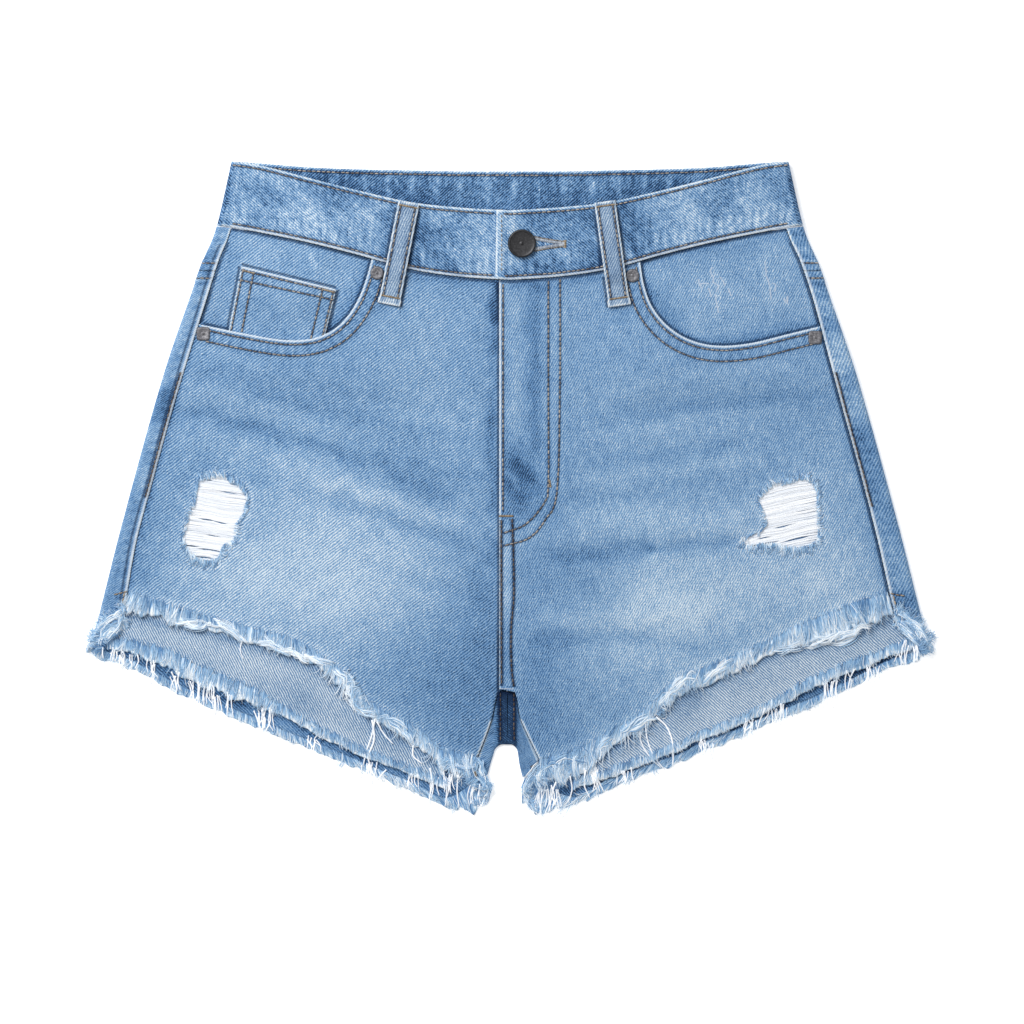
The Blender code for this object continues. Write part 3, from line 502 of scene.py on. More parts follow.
# Creases of the front panels, as shares of CREASE_DEPTH
CREASES = {
    LEFT: (
        (165, 400, 250, 427, 10, -0.5), (250, 427, 340, 452, 10, -0.55),
        (340, 452, 440, 490, 11, -0.5), (180, 382, 330, 428, 10, 0.35),
        (200, 432, 380, 492, 11, 0.35), (330, 498, 462, 543, 10, -0.5),
        (320, 480, 470, 527, 9, 0.3), (200, 370, 400, 405, 8, -0.25),
        (370, 565, 490, 600, 9, -0.3), (410, 290, 440, 330, 8, -0.25),
        (470, 300, 480, 480, 9, 0.3),
    ),
    RIGHT: (
        (555, 557, 650, 548, 8, -0.7), (650, 548, 745, 540, 8, -0.55),
        (565, 532, 740, 522, 13, 0.6), (560, 500, 660, 494, 7, -0.3),
        (620, 410, 830, 395, 9, -0.3), (640, 385, 800, 375, 10, 0.25),
        (600, 455, 780, 440, 9, -0.25), (540, 642, 640, 637, 9, -0.5),
        (640, 637, 710, 652, 9, -0.35), (545, 618, 700, 610, 12, 0.45),
        (530, 470, 515, 500, 8, -0.4),
    ),
}
# Wear, and in some tables painted shade, on the scale from 0, dark, to 1, white
# Strokes of the front panels: fading and whiskers, and painted shadows beside the fly, just under the
# waistband and below the belt loops
WEAR_AND_SHADE_FRONT = {
    LEFT: (
        (320, 486, 430, 484, 22, -0.07), (240, 570, 330, 545, 66, 0.17),
        (320, 612, 395, 592, 58, 0.17), (180, 585, 240, 582, 42, 0.04),
        (320, 490, 430, 520, 40, 0.06), (420, 330, 440, 400, 40, 0.05),
        (190, 398, 345, 444, 7, 0.05), (230, 452, 400, 503, 7, 0.05),
        (260, 380, 470, 425, 6, 0.04), (250, 392, 460, 440, 6, -0.05),
        (380, 455, 480, 478, 6, -0.06), (450, 660, 460, 745, 52, -0.12),
        (484, 560, 488, 700, 20, -0.08), (495, 282, 495, 318, 5, -0.34),
        (494, 318, 494, 345, 6, -0.16), (494, 345, 494, 420, 6, -0.1),
        (494, 420, 494, 505, 7, -0.18), (494, 540, 494, 560, 7, -0.1),
        (409, 274, 490, 286, 6, -0.12), (165, 400, 250, 427, 9, -0.1),
        (250, 427, 340, 452, 9, -0.1), (340, 452, 450, 498, 10, -0.09),
        (340, 500, 460, 542, 9, -0.1), (200, 370, 400, 405, 8, -0.05),
        (370, 565, 490, 600, 8, -0.05), (180, 382, 330, 427, 9, 0.06),
        (200, 434, 380, 492, 10, 0.06), (320, 481, 462, 525, 9, 0.06),
        (148, 500, 132, 600, 14, -0.06), (385, 280, 380, 310, 9, -0.08),
    ),
    RIGHT: (
        (660, 596, 810, 584, 52, 0.21), (610, 650, 680, 660, 34, 0.1),
        (585, 524, 740, 517, 18, 0.12), (640, 430, 760, 450, 58, 0.02),
        (590, 400, 620, 480, 40, 0.02), (600, 392, 800, 362, 6, 0.05),
        (590, 436, 780, 410, 6, 0.05), (585, 480, 760, 462, 7, 0.06),
        (600, 422, 780, 396, 6, -0.05), (590, 462, 740, 445, 6, -0.06),
        (555, 618, 700, 612, 13, 0.08), (555, 557, 650, 548, 7, -0.15),
        (650, 548, 742, 540, 6, -0.12), (565, 500, 650, 495, 6, -0.05),
        (620, 410, 830, 395, 8, -0.05), (540, 640, 640, 637, 9, -0.1),
        (640, 637, 700, 650, 8, -0.06), (535, 575, 600, 585, 22, -0.06),
        (540, 655, 545, 735, 28, -0.1), (504, 630, 504, 690, 8, -0.16),
        (506.7, 678, 506.7, 679, 2.5, 0.18), (514, 296, 514, 440, 9, 0.14),
        (522, 290, 522, 500, 28, -0.07), (517, 464, 530, 478, 6, -0.16),
        (504, 484, 524, 500, 7, -0.12), (503, 472, 513, 479, 2.4, 0.16),
        (513, 479, 520, 492, 2.2, 0.18), (505, 430, 520, 500, 12, -0.1),
        (830, 490, 862, 580, 40, 0.08), (512, 470, 530, 482, 15, -0.14),
        (536, 290, 536, 450, 6, -0.12), (503, 516, 540, 516, 11, -0.1),
        (554, 420, 554, 510, 5, -0.05), (520, 287, 600, 277, 7, -0.13),
        (621, 290, 622, 312, 9, -0.08), (870, 520, 892, 600, 14, -0.06),
        (507, 545, 507, 600, 4, 0.1),
    ),
}
FRONT_TONE = {LEFT: 0.49, RIGHT: 0.50}
# Strokes of the waistband: the dark ones beside the belt loops are painted shadows
WEAR_AND_SHADE_BAND = (
    (588, 210, 600, 268, 8, -0.2), (626, 207, 636, 262, 8, -0.2), (394, 208, 382, 264, 8, -0.2),
    (424, 210, 412, 266, 8, -0.2), (515, 272, 595, 268, 9, -0.12), (530, 218, 590, 214, 8, -0.12),
    (512, 262, 512, 266, 10, 0.16), (512, 218, 512, 232, 6, 0.12),
    (560, 228, 590, 262, 12, -0.06), (470, 215, 430, 225, 12, -0.06),
    (455, 250, 490, 262, 7, 0.12), (240, 190, 290, 196, 8, -0.08), (660, 240, 760, 222, 8, 0.07),
    (300, 215, 350, 225, 20, 0.06), (240, 200, 300, 215, 22, 0.09),
    (450, 240, 480, 245, 18, 0.05), (690, 215, 770, 200, 24, 0.06),
)
WEAR_BAND_INSIDE = (
    (330, 180, 690, 180, 9, 0.05), (300, 178, 420, 196, 6, -0.1), (600, 196, 720, 178, 6, -0.1),
)
WEAR_STRIP = (
    (172, 390, 168, 412, 9, -0.14), (160, 458, 154, 492, 9, -0.14), (132, 530, 130, 540, 8, -0.1),
    (122, 570, 120, 580, 8, -0.1), (112, 600, 118, 606, 9, -0.12), (210, 228, 204, 272, 8, -0.08),
    (195, 300, 185, 340, 9, 0.05), (848, 380, 852, 396, 9, -0.12), (856, 424, 862, 448, 9, -0.12),
    (866, 470, 874, 505, 9, -0.14), (876, 515, 880, 525, 8, -0.1), (892, 578, 904, 604, 9, -0.16),
    (802, 188, 796, 234, 8, -0.08), (816, 282, 820, 292, 8, -0.1), (906, 627, 924, 645, 9, 0.3),
    (116, 627, 98, 645, 9, 0.3),
)
STRIP_TONE = {LEFT: 0.44, RIGHT: 0.53}
# The dark strokes along the pocket mouths are painted shadows under the front panels' edges
WEAR_AND_SHADE_FACING = {
    LEFT: (
        (240, 350, 330, 345, 20, -0.12), (330, 335, 366, 285, 14, -0.12),
        (232, 262, 222, 320, 7, -0.05), (308, 251, 314, 265, 3, 0.16),
    ),
    RIGHT: (
        (690, 350, 800, 338, 12, -0.13), (645, 285, 690, 345, 9, -0.13),
        (700, 285, 790, 285, 30, 0.04), (713, 268, 718, 312, 4, 0.08),
        (700, 284, 726, 284, 4, 0.07), (765, 262, 771, 299, 3.5, 0.08),
        (776, 284, 787, 303, 3.5, 0.06), (640, 262, 785, 238, 7, -0.08),
    ),
}
# The dark strokes are painted shadows under the front panels' frayed hems and deep in the leg openings
WEAR_AND_SHADE_HEM_FACING = {
    LEFT: (
        (125, 640, 300, 700, 14, -0.07), (300, 700, 440, 760, 14, -0.1),
        (455, 780, 470, 795, 14, -0.35), (140, 670, 240, 715, 14, 0.05),
    ),
    RIGHT: (
        (890, 640, 700, 700, 13, -0.06), (690, 710, 560, 765, 14, -0.1),
        (548, 780, 556, 792, 13, -0.35), (870, 665, 760, 715, 14, 0.05),
    ),
}
# Wear of the left half of the seat; the right half is its mirror image
WEAR_SEAT = (
    (300, 300, 420, 330, 90, 0.14), (260, 480, 380, 520, 80, 0.12),
    (330, 560, 470, 600, 14, -0.08), (300, 600, 460, 650, 12, -0.07),
    (200, 420, 260, 460, 14, -0.05), (440, 620, 470, 700, 40, -0.1),
)


def mouth_puckers(along, x, y):
    return puckers(along, 5.6, ripple(x, y, 14, 5))


CREASE_DEPTH, LOWEST_RELIEF = 0.75, -0.75


def front_level(side, across, height):
    """The middle of the front panel with its creases, and puckers along its stitched edges."""
    x, y = side * across, height
    inside, along = inside_mouth(side, across, height)
    lift = CREASE_DEPTH * strokes(CREASES[side], x, y)
    lift = lift + 0.16 * ripple(x, y, 24, 3) + 0.07 * ripple(x, y, 8, 4)
    lift = lift + 0.28 * smooth(-inside, 11.5, 9.5)
    lift = lift + 0.11 * bump(-inside, 6, 2.6) * mouth_puckers(along, x, y)
    if side == RIGHT:
        lift = lift + 0.25 * smooth(across, 5.5, 3.5) * smooth(height, 128, 118)
        lift = lift + 0.10 * bump(across, -1.5, 3) * puckers(height, 5.8, ripple(x, y, 16, 6))
    return front_height(side, across, height) + np.maximum(lift, LOWEST_RELIEF)


def facing_level(side, across, height):
    x, y = side * across, height
    relief = 0.12 * ripple(x, y, 16, 8) + 0.05 * ripple(x, y, 6, 9)
    return pocket_facing_height(side, across, height) + relief


def coin_level(side, across, height):
    return facing_level(side, across, height) + COIN_STEP


def hem_facing_level(side, across, height):
    relief = 0.2 + 0.2 * ripple(side * across, height, 20, 12)
    return back_height(across, height) + HEM_PLY_STEP + relief


def band_relief(side, across, share):
    """Puckers along both stitched edges of the waistband; share runs from its top to its bottom."""
    x, y = side * across, share * 40
    pull = ripple(x, y, 17, 14)
    low = bump(share, 0.82, 0.2) * puckers(x, 5.4, pull)
    high = bump(share, 0.14, 0.12) * puckers(x, 5.0, pull, -2)
    return 0.10 * low + 0.06 * high + 0.10 * ripple(x, y, 18, 15)


def band_level(side, across, height):
    top, bottom = band_edges(across, "front")
    share = np.clip((top - height) / (top - bottom), 0, 1)
    return band_height(side, across) + band_relief(side, across, share)


# ---- making meshes ----

COLLECTION = "denim_shorts_look"

# What a sheet is made from: places of its points, their places on the flat cloth, how worn the
# cloth is there with painted shade added, and how far it is from an abraded edge.
Cloth = namedtuple("Cloth", "points flat wear edge")
# So far from an edge that nothing of its wear shows
UNWORN = 9


def laid_cloth(side, across, height, level, wear, edge):
    """Cloth that lies flat where it was cut."""
    points = to_world(side, across, height, level)
    return Cloth(points, pairs(side * across, height), wear, edge)


def collection():
    found = bpy.data.collections.get(COLLECTION)
    if not found:
        found = bpy.data.collections.new(COLLECTION)
        bpy.context.scene.collection.children.link(found)
    return found


def add_object(name, mesh, look, slot, *nodes):
    """Adds a piece with its material, and hides the solids it stands for."""
    obj = bpy.data.objects.new(name, mesh)
    mesh.materials.append(look)
    collection().objects.link(obj)
    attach(obj, "root")
    if nodes:
        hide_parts(*nodes)
    return obj


def edit_mesh(mesh, change):
    bm = bmesh.new()
    bm.from_mesh(mesh)
    change(bm)
    bm.to_mesh(mesh)
    bm.free()
    mesh.update()
    return mesh


def grid_mesh(name, columns, rows, size=1):
    def make(bm):
        bmesh.ops.create_grid(bm, x_segments=columns, y_segments=rows, size=size)

    return edit_mesh(bpy.data.meshes.new(name), make)


def read_rows(data, field, kind=np.float32):
    """A field of three numbers of each vertex or triangle."""
    rows = np.empty(len(data) * 3, kind)
    data.foreach_get(field, rows)
    return rows.reshape(-1, 3)


def write_points(mesh, points):
    mesh.vertices.foreach_set("co", points.astype(np.float32).ravel())
    mesh.update()


def set_attribute(mesh, name, values, kind="FLOAT", field="value"):
    attribute = mesh.attributes.new(name, kind, "POINT")
    attribute.data.foreach_set(field, np.asarray(values, np.float32).ravel())


def cloth_mesh(name, size, place):
    """A grid mesh whose points place(u, v) puts on the cloth."""
    mesh = grid_mesh(name, *size)
    shares = read_rows(mesh.vertices, "co").astype(float)[:, :2] / 2 + 0.5
    cloth = place(*np.clip(shares, 0, 1).T)
    write_points(mesh, cloth.points * MM)
    flat = np.column_stack([cloth.flat, np.zeros(len(cloth.flat))])
    set_attribute(mesh, "weave", flat, "FLOAT_VECTOR", "vector")
    set_attribute(mesh, "wear", cloth.wear)
    set_attribute(mesh, "edge", cloth.edge)
    mesh.shade_smooth()
    return mesh


def flat_size(mesh):
    """The width, length and area of the flat cloth that a mesh is cut from, in metres."""
    flat = read_rows(mesh.attributes["weave"].data, "vector")[:, :2].astype(float)
    span = np.ptp(flat, axis=0) * MM
    mesh.calc_loop_triangles()
    a, b, c = (flat[corner] for corner in read_rows(mesh.loop_triangles, "vertices", np.int32).T)
    turn = (b - a)[:, 0] * (c - a)[:, 1] - (b - a)[:, 1] * (c - a)[:, 0]
    return span[0], span[1], np.abs(turn).sum() / 2 * MM * MM


def add_wall(obj, wall):
    solidify = obj.modifiers.new("Wall", "SOLIDIFY")
    solidify.thickness = wall * MM
    solidify.offset = 0
    solidify.use_even_offset = False


def add_sheet(node, mesh, look, rests_on="floor", wall=SHELL, slot="denim", fringe=None):
    """Gives a cloth mesh its thickness and hides the solid it stands for. fringe: the name of the
    frayed edge on it, whose pieces are made by now; they are looked up but not used."""
    width, length, area = flat_size(mesh)
    obj = add_object(mesh.name, mesh, look, slot, node)
    add_wall(obj, wall)
    hanging = [f"{fringe}_roll", f"{fringe}_threads"] if fringe else []
    [piece for piece in map(bpy.data.objects.get, hanging) if piece]


def add_woven(node, size, place, look, *rests_on, **more):
    """Adds the sheet of a solid from the function that places its points."""
    add_sheet(node, cloth_mesh(f"{node}_cloth", size, place), look, *rests_on, **more)


def mesh_of(name, points, faces):
    mesh = bpy.data.meshes.new(name)
    mesh.from_pydata((points * MM).tolist(), [], faces)
    mesh.shade_smooth()
    return mesh


def add_threads(name, threads, look, sides=3, slot="frayed_denim"):
    """Adds round threads joined in one mesh. threads: their paths (thread, step, 3), radii
    (thread, step), and shades (thread, step), or (thread, 1) where each has one shade."""
    paths, radius, shade = threads
    count, steps, _ = paths.shape
    way = unit(np.gradient(paths, axis=1))
    across = np.cross(way, (0.0, 0.0, 1.0))
    steep = np.linalg.norm(across, axis=2, keepdims=True) < 0.05
    across = unit(np.where(steep, np.cross(way, (0.0, 1.0, 0.0)), across))
    other = np.cross(way, across)
    turn = np.arange(sides) * 2 * math.pi / sides
    ring = (np.cos(turn)[:, None] * across[:, :, None, :]
            + np.sin(turn)[:, None] * other[:, :, None, :])
    points = paths[:, :, None, :] + radius[:, :, None, None] * ring
    index = np.arange(count * steps * sides).reshape(count, steps, sides)
    near, far = index[:, :-1], index[:, 1:]
    walls = np.stack([near, np.roll(near, -1, 2), np.roll(far, -1, 2), far], axis=-1)
    faces = walls.reshape(-1, 4).tolist() + index[:, 0, ::-1].tolist() + index[:, -1].tolist()
    mesh = mesh_of(name, points.reshape(-1, 3), faces)
    set_attribute(mesh, "shade", np.broadcast_to(shade[:, :, None], index.shape))
    add_object(name, mesh, look, slot)


def between(top, bottom, inner, outer):
    """Shares (u, v) to points of the cloth between four lines that meet at their ends.
    u runs from inner to outer and v from top to bottom."""

    def point(u, v):
        across = mix(top.at(u), bottom.at(u), v[:, None])
        down = mix(inner.at(v), outer.at(v), u[:, None])
        near = mix(top.at(0 * u), bottom.at(0 * u), v[:, None])
        far = mix(top.at(0 * u + 1), bottom.at(0 * u + 1), v[:, None])
        return (across + down - mix(near, far, u[:, None])).T

    return point


# ---- materials ----


def from_screen(*screen):
    """A colour given by its screen values, 0 to 255, on the linear scale."""
    def linear(value):
        value /= 255
        return value / 12.92 if value <= 0.04045 else ((value + 0.055) / 1.055) ** 2.4

    return tuple(linear(value) for value in screen)


def faded(colour, grey):
    """A colour turned part of the way to the grey of the same brightness."""
    level = 0.21 * colour[0] + 0.72 * colour[1] + 0.07 * colour[2]
    return [mix(part, level, grey) for part in colour]


class Value:
    """A number that varies over a surface. Arithmetic on it adds Math nodes."""

    def __init__(self, look, socket):
        self.look, self.socket = look, socket

    def math(self, operation, *values):
        return self.look.node("ShaderNodeMath", {"operation": operation}, *values)

    def __add__(self, other):
        return self.math("ADD", self, other)

    def __sub__(self, other):
        return self.math("SUBTRACT", self, other)

    def __rsub__(self, other):
        return self.math("SUBTRACT", other, self)

    def __mul__(self, other):
        return self.math("MULTIPLY", self, other)

    __radd__ = __add__
    __rmul__ = __mul__

    def wave(self):
        return self.math("SINE", self)

    def within(self, low, high):
        """0 below low, 1 above high, and in between a soft rise."""
        settings = {"interpolation_type": "SMOOTHSTEP"}
        inputs = {"Value": self, "From Min": low, "From Max": high}
        return self.look.node("ShaderNodeMapRange", settings, **inputs)


class Look:
    """A material, built on its Principled shader."""

    def __init__(self, name, roughness, metallic=0.0, specular=0.25, sheen=0.0):
        self.material = bpy.data.materials.new(name)
        self.material.use_nodes = True
        self.tree = self.material.node_tree
        self.shader = self.tree.nodes["Principled BSDF"]
        self.fix("Roughness", roughness)
        self.fix("Metallic", metallic)
        self.fix("Specular IOR Level", specular)
        self.fix("Sheen Weight", sheen)

    def fix(self, name, number):
        self.shader.inputs[name].default_value = number

    def feed(self, name, value):
        self.join(self.shader.inputs[name], value)

    def join(self, socket, value):
        if isinstance(value, Value):
            self.tree.links.new(value.socket, socket)
        else:
            socket.default_value = value

    def node(self, kind, settings=None, *values, output=0, **inputs):
        """Adds a node: its settings are set first, then the values or links of its sockets."""
        made = self.tree.nodes.new(kind)
        for name, setting in (settings or {}).items():
            if name == "stops":
                self.set_stops(made.color_ramp, setting)
            else:
                setattr(made, name, setting)
        for socket, value in zip(made.inputs, values):
            self.join(socket, value)
        for name, value in inputs.items():
            self.join(made.inputs[name], value)
        return Value(self, made.outputs[output])

    def set_stops(self, ramp, stops):
        while len(ramp.elements) < len(stops):
            ramp.elements.new(0.5)
        for element, (place, colour) in zip(ramp.elements, stops):
            element.position = place
            element.color = (*colour, 1)

    def colours(self, tone, colours, depth=1.0, start=0.0, end=1.0):
        """Gives the surface its colours, evenly spaced by tone from start to end, all dimmed by
        depth."""
        dimmed = [[part * depth for part in colour] for colour in colours]
        stops = list(zip(np.linspace(start, end, len(dimmed)), dimmed))
        colour = self.node("ShaderNodeValToRGB", {"stops": stops}, tone)
        self.feed("Base Color", colour)
        return colour

    def glow(self, colour, strength):
        self.feed("Emission Color", colour)
        self.fix("Emission Strength", strength)

    def attribute(self, name, output="Fac"):
        return self.node("ShaderNodeAttribute", {"attribute_name": name}, output=output)

    def scaled(self, vector, by, turn=0.0):
        inputs = {"Vector": vector, "Scale": by, "Rotation": (0, 0, turn)}
        return self.node("ShaderNodeMapping", {"vector_type": "POINT"}, **inputs)

    def noise(self, vector, scale, detail=2.0, roughness=0.5):
        inputs = {"Scale": 1.0, "Detail": detail, "Roughness": roughness, "Distortion": 0.0}
        place = self.scaled(vector, (*scale, 1) if len(scale) == 2 else scale)
        return self.node("ShaderNodeTexNoise", None, Vector=place, **inputs)

    @functools.cached_property
    def place(self):
        return self.node("ShaderNodeTexCoord", None, output="Object")

    def grain(self, fineness, **more):
        """Noise fixed to the piece, so fine to a metre."""
        return self.noise(self.place, (fineness,) * 3, **more)

    def relief(self, height, distance, strength=1.0):
        inputs = {"Height": height, "Distance": distance * MM, "Strength": strength}
        self.feed("Normal", self.node("ShaderNodeBump", None, **inputs))


# How a twill runs. angle: of its ribs, from +X. pitch: from rib to rib. rib: how strong they look.
# grain: how strong the uneven threads look. grey: how far the colours turn to grey. wash: how
# strong the mottling is.
Twill = namedtuple("Twill", "angle pitch rib grain grey wash")
TWILLS = {
    "denim_left": Twill(38, 1.5, 0.20, 1.5, 0.0, 0.25),
    "denim_right": Twill(62, 1.35, 0.17, 1.6, 0.0, 0.25),
    "denim_band": Twill(42, 1.35, 0.20, 1.8, 0.0, 0.8),
    "denim_loop": Twill(66, 1.4, 0.18, 1.5, 0.28, 0.2),
    "denim_back": Twill(-45, 1.4, 0.15, 1.55, 0.0, 0.35),
    "denim_inside_left": Twill(-63, 1.35, 0.27, 1.0, 0.18, 0.2),
    "denim_inside_right": Twill(-42, 1.35, 0.27, 1.0, 0.18, 0.2),
}


def material(name, make):
    return bpy.data.materials.get(name) or make()


def denim_look(name, cloth):
    """Washed twill: ribs, uneven yarns and mottling on a scale from dark blue to white, paler
    where the cloth is worn and along abraded edges, and darker where shade is painted in."""
    twill = TWILLS[name]
    look = Look(name, roughness=0.9, specular=0.15, sheen=0.04)
    weave = look.attribute("weave", "Vector")
    along_ribs = look.scaled(weave, (1, 1, 1), -math.radians(twill.angle))
    wobble = look.noise(weave, (0.25, 0.25), detail=3)
    across_ribs = look.node("ShaderNodeSeparateXYZ", None, along_ribs, output="Y")
    step = across_ribs + (wobble - 0.5) * 1.6
    ribs = (step * (2 * math.pi / (twill.pitch * cloth.twill_scale))).wave()
    ribs = ribs.within(-0.75, 1.0) * 2 - 0.9
    ribs = ribs * (0.35 + look.noise(along_ribs, (0.35, 1.1)) * 1.3)
    yarn = look.noise(weave, (1.5, 0.09), detail=3) - 0.5
    slub = look.noise(weave, (0.12, 1.3)) - 0.5
    grain = look.noise(weave, (1.1, 1.1), detail=4, roughness=0.65) - 0.5
    cloud = look.noise(weave, (0.13, 0.13), detail=4, roughness=0.6) - 0.5
    uneven = yarn * 0.30 + slub * 0.16 + grain * 0.78 + cloud * 0.14
    wash = look.noise(along_ribs, (0.42, 0.28)) - 0.5
    tone = look.attribute("wear") + ribs * twill.rib + uneven * twill.grain + wash * twill.wash
    edge = look.attribute("edge") + grain * 2.0
    tone = tone + (1 - edge.within(0.5, 1.7)) * 0.42
    stops = cloth.darkest, cloth.dark, cloth.middle, cloth.light, cloth.worn
    look.colours(tone, [faded(colour, twill.grey) for colour in stops], cloth.depth)
    look.relief(ribs * 0.5 + grain * 1.4 + yarn * 0.6, 0.16, 0.8)
    return look.material


def denim(context, name):
    return material(name, lambda: denim_look(name, context.scene.shorts_cloth))


def thread_look(name, colours, depth, glow):
    """Twisted thread between its colours, by the shade that each thread carries. glow: painted
    light, an emission in the thread's own colour that brightens it beyond the lamps' light."""
    look = Look(name, roughness=0.85, specular=0.12)
    fuzz = look.grain(1500)
    colour = look.colours(look.attribute("shade") + (fuzz - 0.5) * 0.5, colours, depth)
    if glow:
        look.glow(colour, glow)
    look.relief(fuzz, 0.08, 0.6)
    return look.material


def combed_look(name, colours, depth, glow):
    """Yarn combed out across a hem: fine strands in locks, some of them white."""
    look = Look(name, roughness=0.9, specular=0.1)
    weave = look.attribute("weave", "Vector")
    strands = look.noise(weave, (1.7, 0.13), detail=3, roughness=0.65) - 0.5
    locks = look.noise(weave, (0.45, 0.07)) - 0.5
    tone = look.attribute("wear") + strands * 2.7 + locks * 2.4
    # Painted light: the yarn glows in its own colour, brighter than the lamps alone make it
    look.glow(look.colours(tone, colours, depth), glow)
    inside = look.attribute("edge") + strands * 5.0 + locks * 2.0
    look.feed("Alpha", inside.within(0.7, 2.6))
    look.relief(strands * 0.6 + locks, 0.8, 1.0)
    return look.material


def yarn(context, name, make=thread_look):
    """The material of a kind of thread."""
    thread, depth = context.scene.shorts_thread, context.scene.shorts_cloth.depth
    frayed = thread.frayed_dark, thread.frayed_middle, thread.frayed_light
    white = thread.white_dark, thread.white_light
    # The glow of the frayed, tangled, loose and white threads is painted light
    colours, glow = {
        "thread_brown": ((thread.brown_dark, thread.brown_light), 0),
        "thread_dark_brown": ((thread.deep_dark, thread.deep_light), 0),
        "thread_orange": ((thread.orange_dark, thread.orange_light), 0),
        "thread_pale": ((thread.pale_dark, thread.pale_light), 0),
        "thread_frayed": (frayed, thread.frayed_glow),
        "frayed_hem": (frayed, thread.frayed_glow),
        "thread_tangled": (frayed, 1.25 * thread.frayed_glow),
        "thread_white": (white, thread.white_glow),
        "thread_loose": (white, 2 * thread.white_glow),
    }[name]
    return material(name, lambda: make(name, colours, depth, glow))


def metal_look(name, colours, roughness):
    """Dull dark metal, scuffed a little."""
    look = Look(name, roughness=roughness, metallic=0.6, specular=0.5)
    scuff, broad = look.grain(900, detail=4, roughness=0.7), look.grain(160)
    look.colours(scuff.within(0.42, 0.7) * 0.6 + broad * 0.4, colours, start=0.1, end=0.9)
    look.relief(scuff, 0.04, 0.4)
    return look.material


def strip_look(name, colour, strength):
    """A painted shade along a trough, a painted contact shadow or the white of a worn ridge, fading out
    at its sides.
    """
    look = Look(name, roughness=1.0, specular=0.0)
    look.feed("Base Color", (*colour, 1))
    fade = look.attribute("fade") * (0.3 + look.grain(900) * 1.1)
    look.feed("Alpha", fade.within(0.1, 1.0) * strength)
    return look.material


# ---- the waistband ----

BACK_LAYER, FOLD_LAYER, FRONT_LAYER = range(3)
BAND_COLUMNS, BAND_ROWS = (96, 12, 116), 26
BAND_TALL = 40.5
# From the waistband's edges to the stitches along them
BAND_INSET = 2.3


def band_columns(side):
    """The layer of each column from the centre back to the end on this side, and its place: a
    share of the flat width on the back and the front, and an angle in the fold."""
    end = BAND_UNDERLAP_END if side == LEFT else -BAND_OVERLAP_END
    last = -end / fold_start(BAND[0].front_top, BAND_WALL, BAND_FOLD)
    back, fold, front = BAND_COLUMNS
    where = (
        np.linspace(0, 1, back + 1),
        np.linspace(0, math.pi, fold + 1)[1:-1],
        np.linspace(1, last, front + 1),
    )
    layer = np.repeat((BACK_LAYER, FOLD_LAYER, FRONT_LAYER), [len(part) for part in where])
    return layer, np.concatenate(where)


def place_band(side, layer, where, share):
    """Places of the waistband, and how far round it they are; share runs from top to bottom."""
    in_fold, in_front = layer == FOLD_LAYER, layer == FRONT_LAYER
    on_front = np.choose(layer, (0 * where, where / math.pi, 0 * where + 1))
    share_out = np.where(in_fold, 1, np.abs(where))
    start = BAND_END
    for _ in range(3):
        front = mix(*band_edges(share_out * start, "front"), share)
        back = mix(*band_edges(share_out * start, "back"), share)
        height = mix(back, front, on_front)
        start = fold_start(height, BAND_WALL, BAND_FOLD)
    turn = np.where(in_fold, where, np.where(in_front, math.pi, 0))
    across = np.where(in_fold, start, where * start) + BAND_FOLD * np.sin(turn)
    rise = band_relief(side, across, share)
    turning = mix(BAND_BACK_HEIGHT, BAND_FOLD_HEIGHT, half_turn(turn))
    level = np.where(in_front, band_height(side, across) + rise, turning)
    level = level + np.where(layer == BACK_LAYER, 0.5 * rise, 0)
    mid_start = fold_start(mix(*band_edges(BAND_END, "front"), 0.5), BAND_WALL, BAND_FOLD)
    turned = mid_start + BAND_FOLD * np.where(in_fold, where, 0)
    round_it = np.choose(layer, (across, turned, 2 * mid_start + BAND_FOLD * math.pi - across))
    return to_world(side, across, height, level), side * round_it


def band_cloth(u, v):
    left, right = (band_columns(side) for side, _ in SIDES)
    sides = np.repeat((LEFT, RIGHT), (len(left[0]), len(right[0]) - 1))
    layer, where = (np.concatenate([a[::-1], b[1:]]) for a, b in zip(left, right))
    column = np.round(u * (len(sides) - 1)).astype(int)
    side, layer, where = sides[column], layer[column], where[column]
    points, round_it = place_band(side, layer, where, v)
    x, y = points[:, 0], points[:, 1]
    rise = band_relief(side, side * x, v)
    mottled = 0.13 * ripple(x + 0.7 * y, 0.6 * y, 6.5, 16) + 0.06 * ripple(x, y, 3.0, 17)
    # Both faces' tone follows the puckers' rise: painted highlights on their ridges and painted shade
    # in their hollows
    front = 0.46 + strokes(WEAR_AND_SHADE_BAND, x, y) + 1.1 * rise + mottled
    streaks = bump(v, 0.24, 0.2) * smooth(puckers(x, 15.6, ripple(x, y, 30, 18)), 0.5, 1)
    inside = 0.21 + strokes(WEAR_BAND_INSIDE, x, y) + 1.0 * rise + 0.26 * streaks
    # Darker along the stitch rows: partly unworn cloth, partly painted shade of their grooves
    grooves = sum(bump(far * BAND_TALL, BAND_INSET, 1.3) for far in (v, 1 - v))
    wear = np.where(layer == FRONT_LAYER, front, inside) - 0.12 * grooves
    ends = np.where((layer == FRONT_LAYER) & (side == RIGHT), x - BAND_OVERLAP_END, 100)
    wear = wear - 0.12 * bump(ends, 5.4, 1.3) + 0.2 * bump(ends, 2.0, 2.2)
    points[:, 2] += 0.5 * bump(ends, 1.8, 2.2)
    edge = np.minimum(np.minimum(v, 1 - v) * BAND_TALL, 2 * ends)
    return Cloth(points, pairs(round_it, y), wear, edge)


# ---- the front ----


def waist_run(start, end, count):
    """Points along the front waist seam, just below the waistband."""
    places = np.linspace(start, end, count)
    return pairs(places, waist(places) - SEAM_GAP)


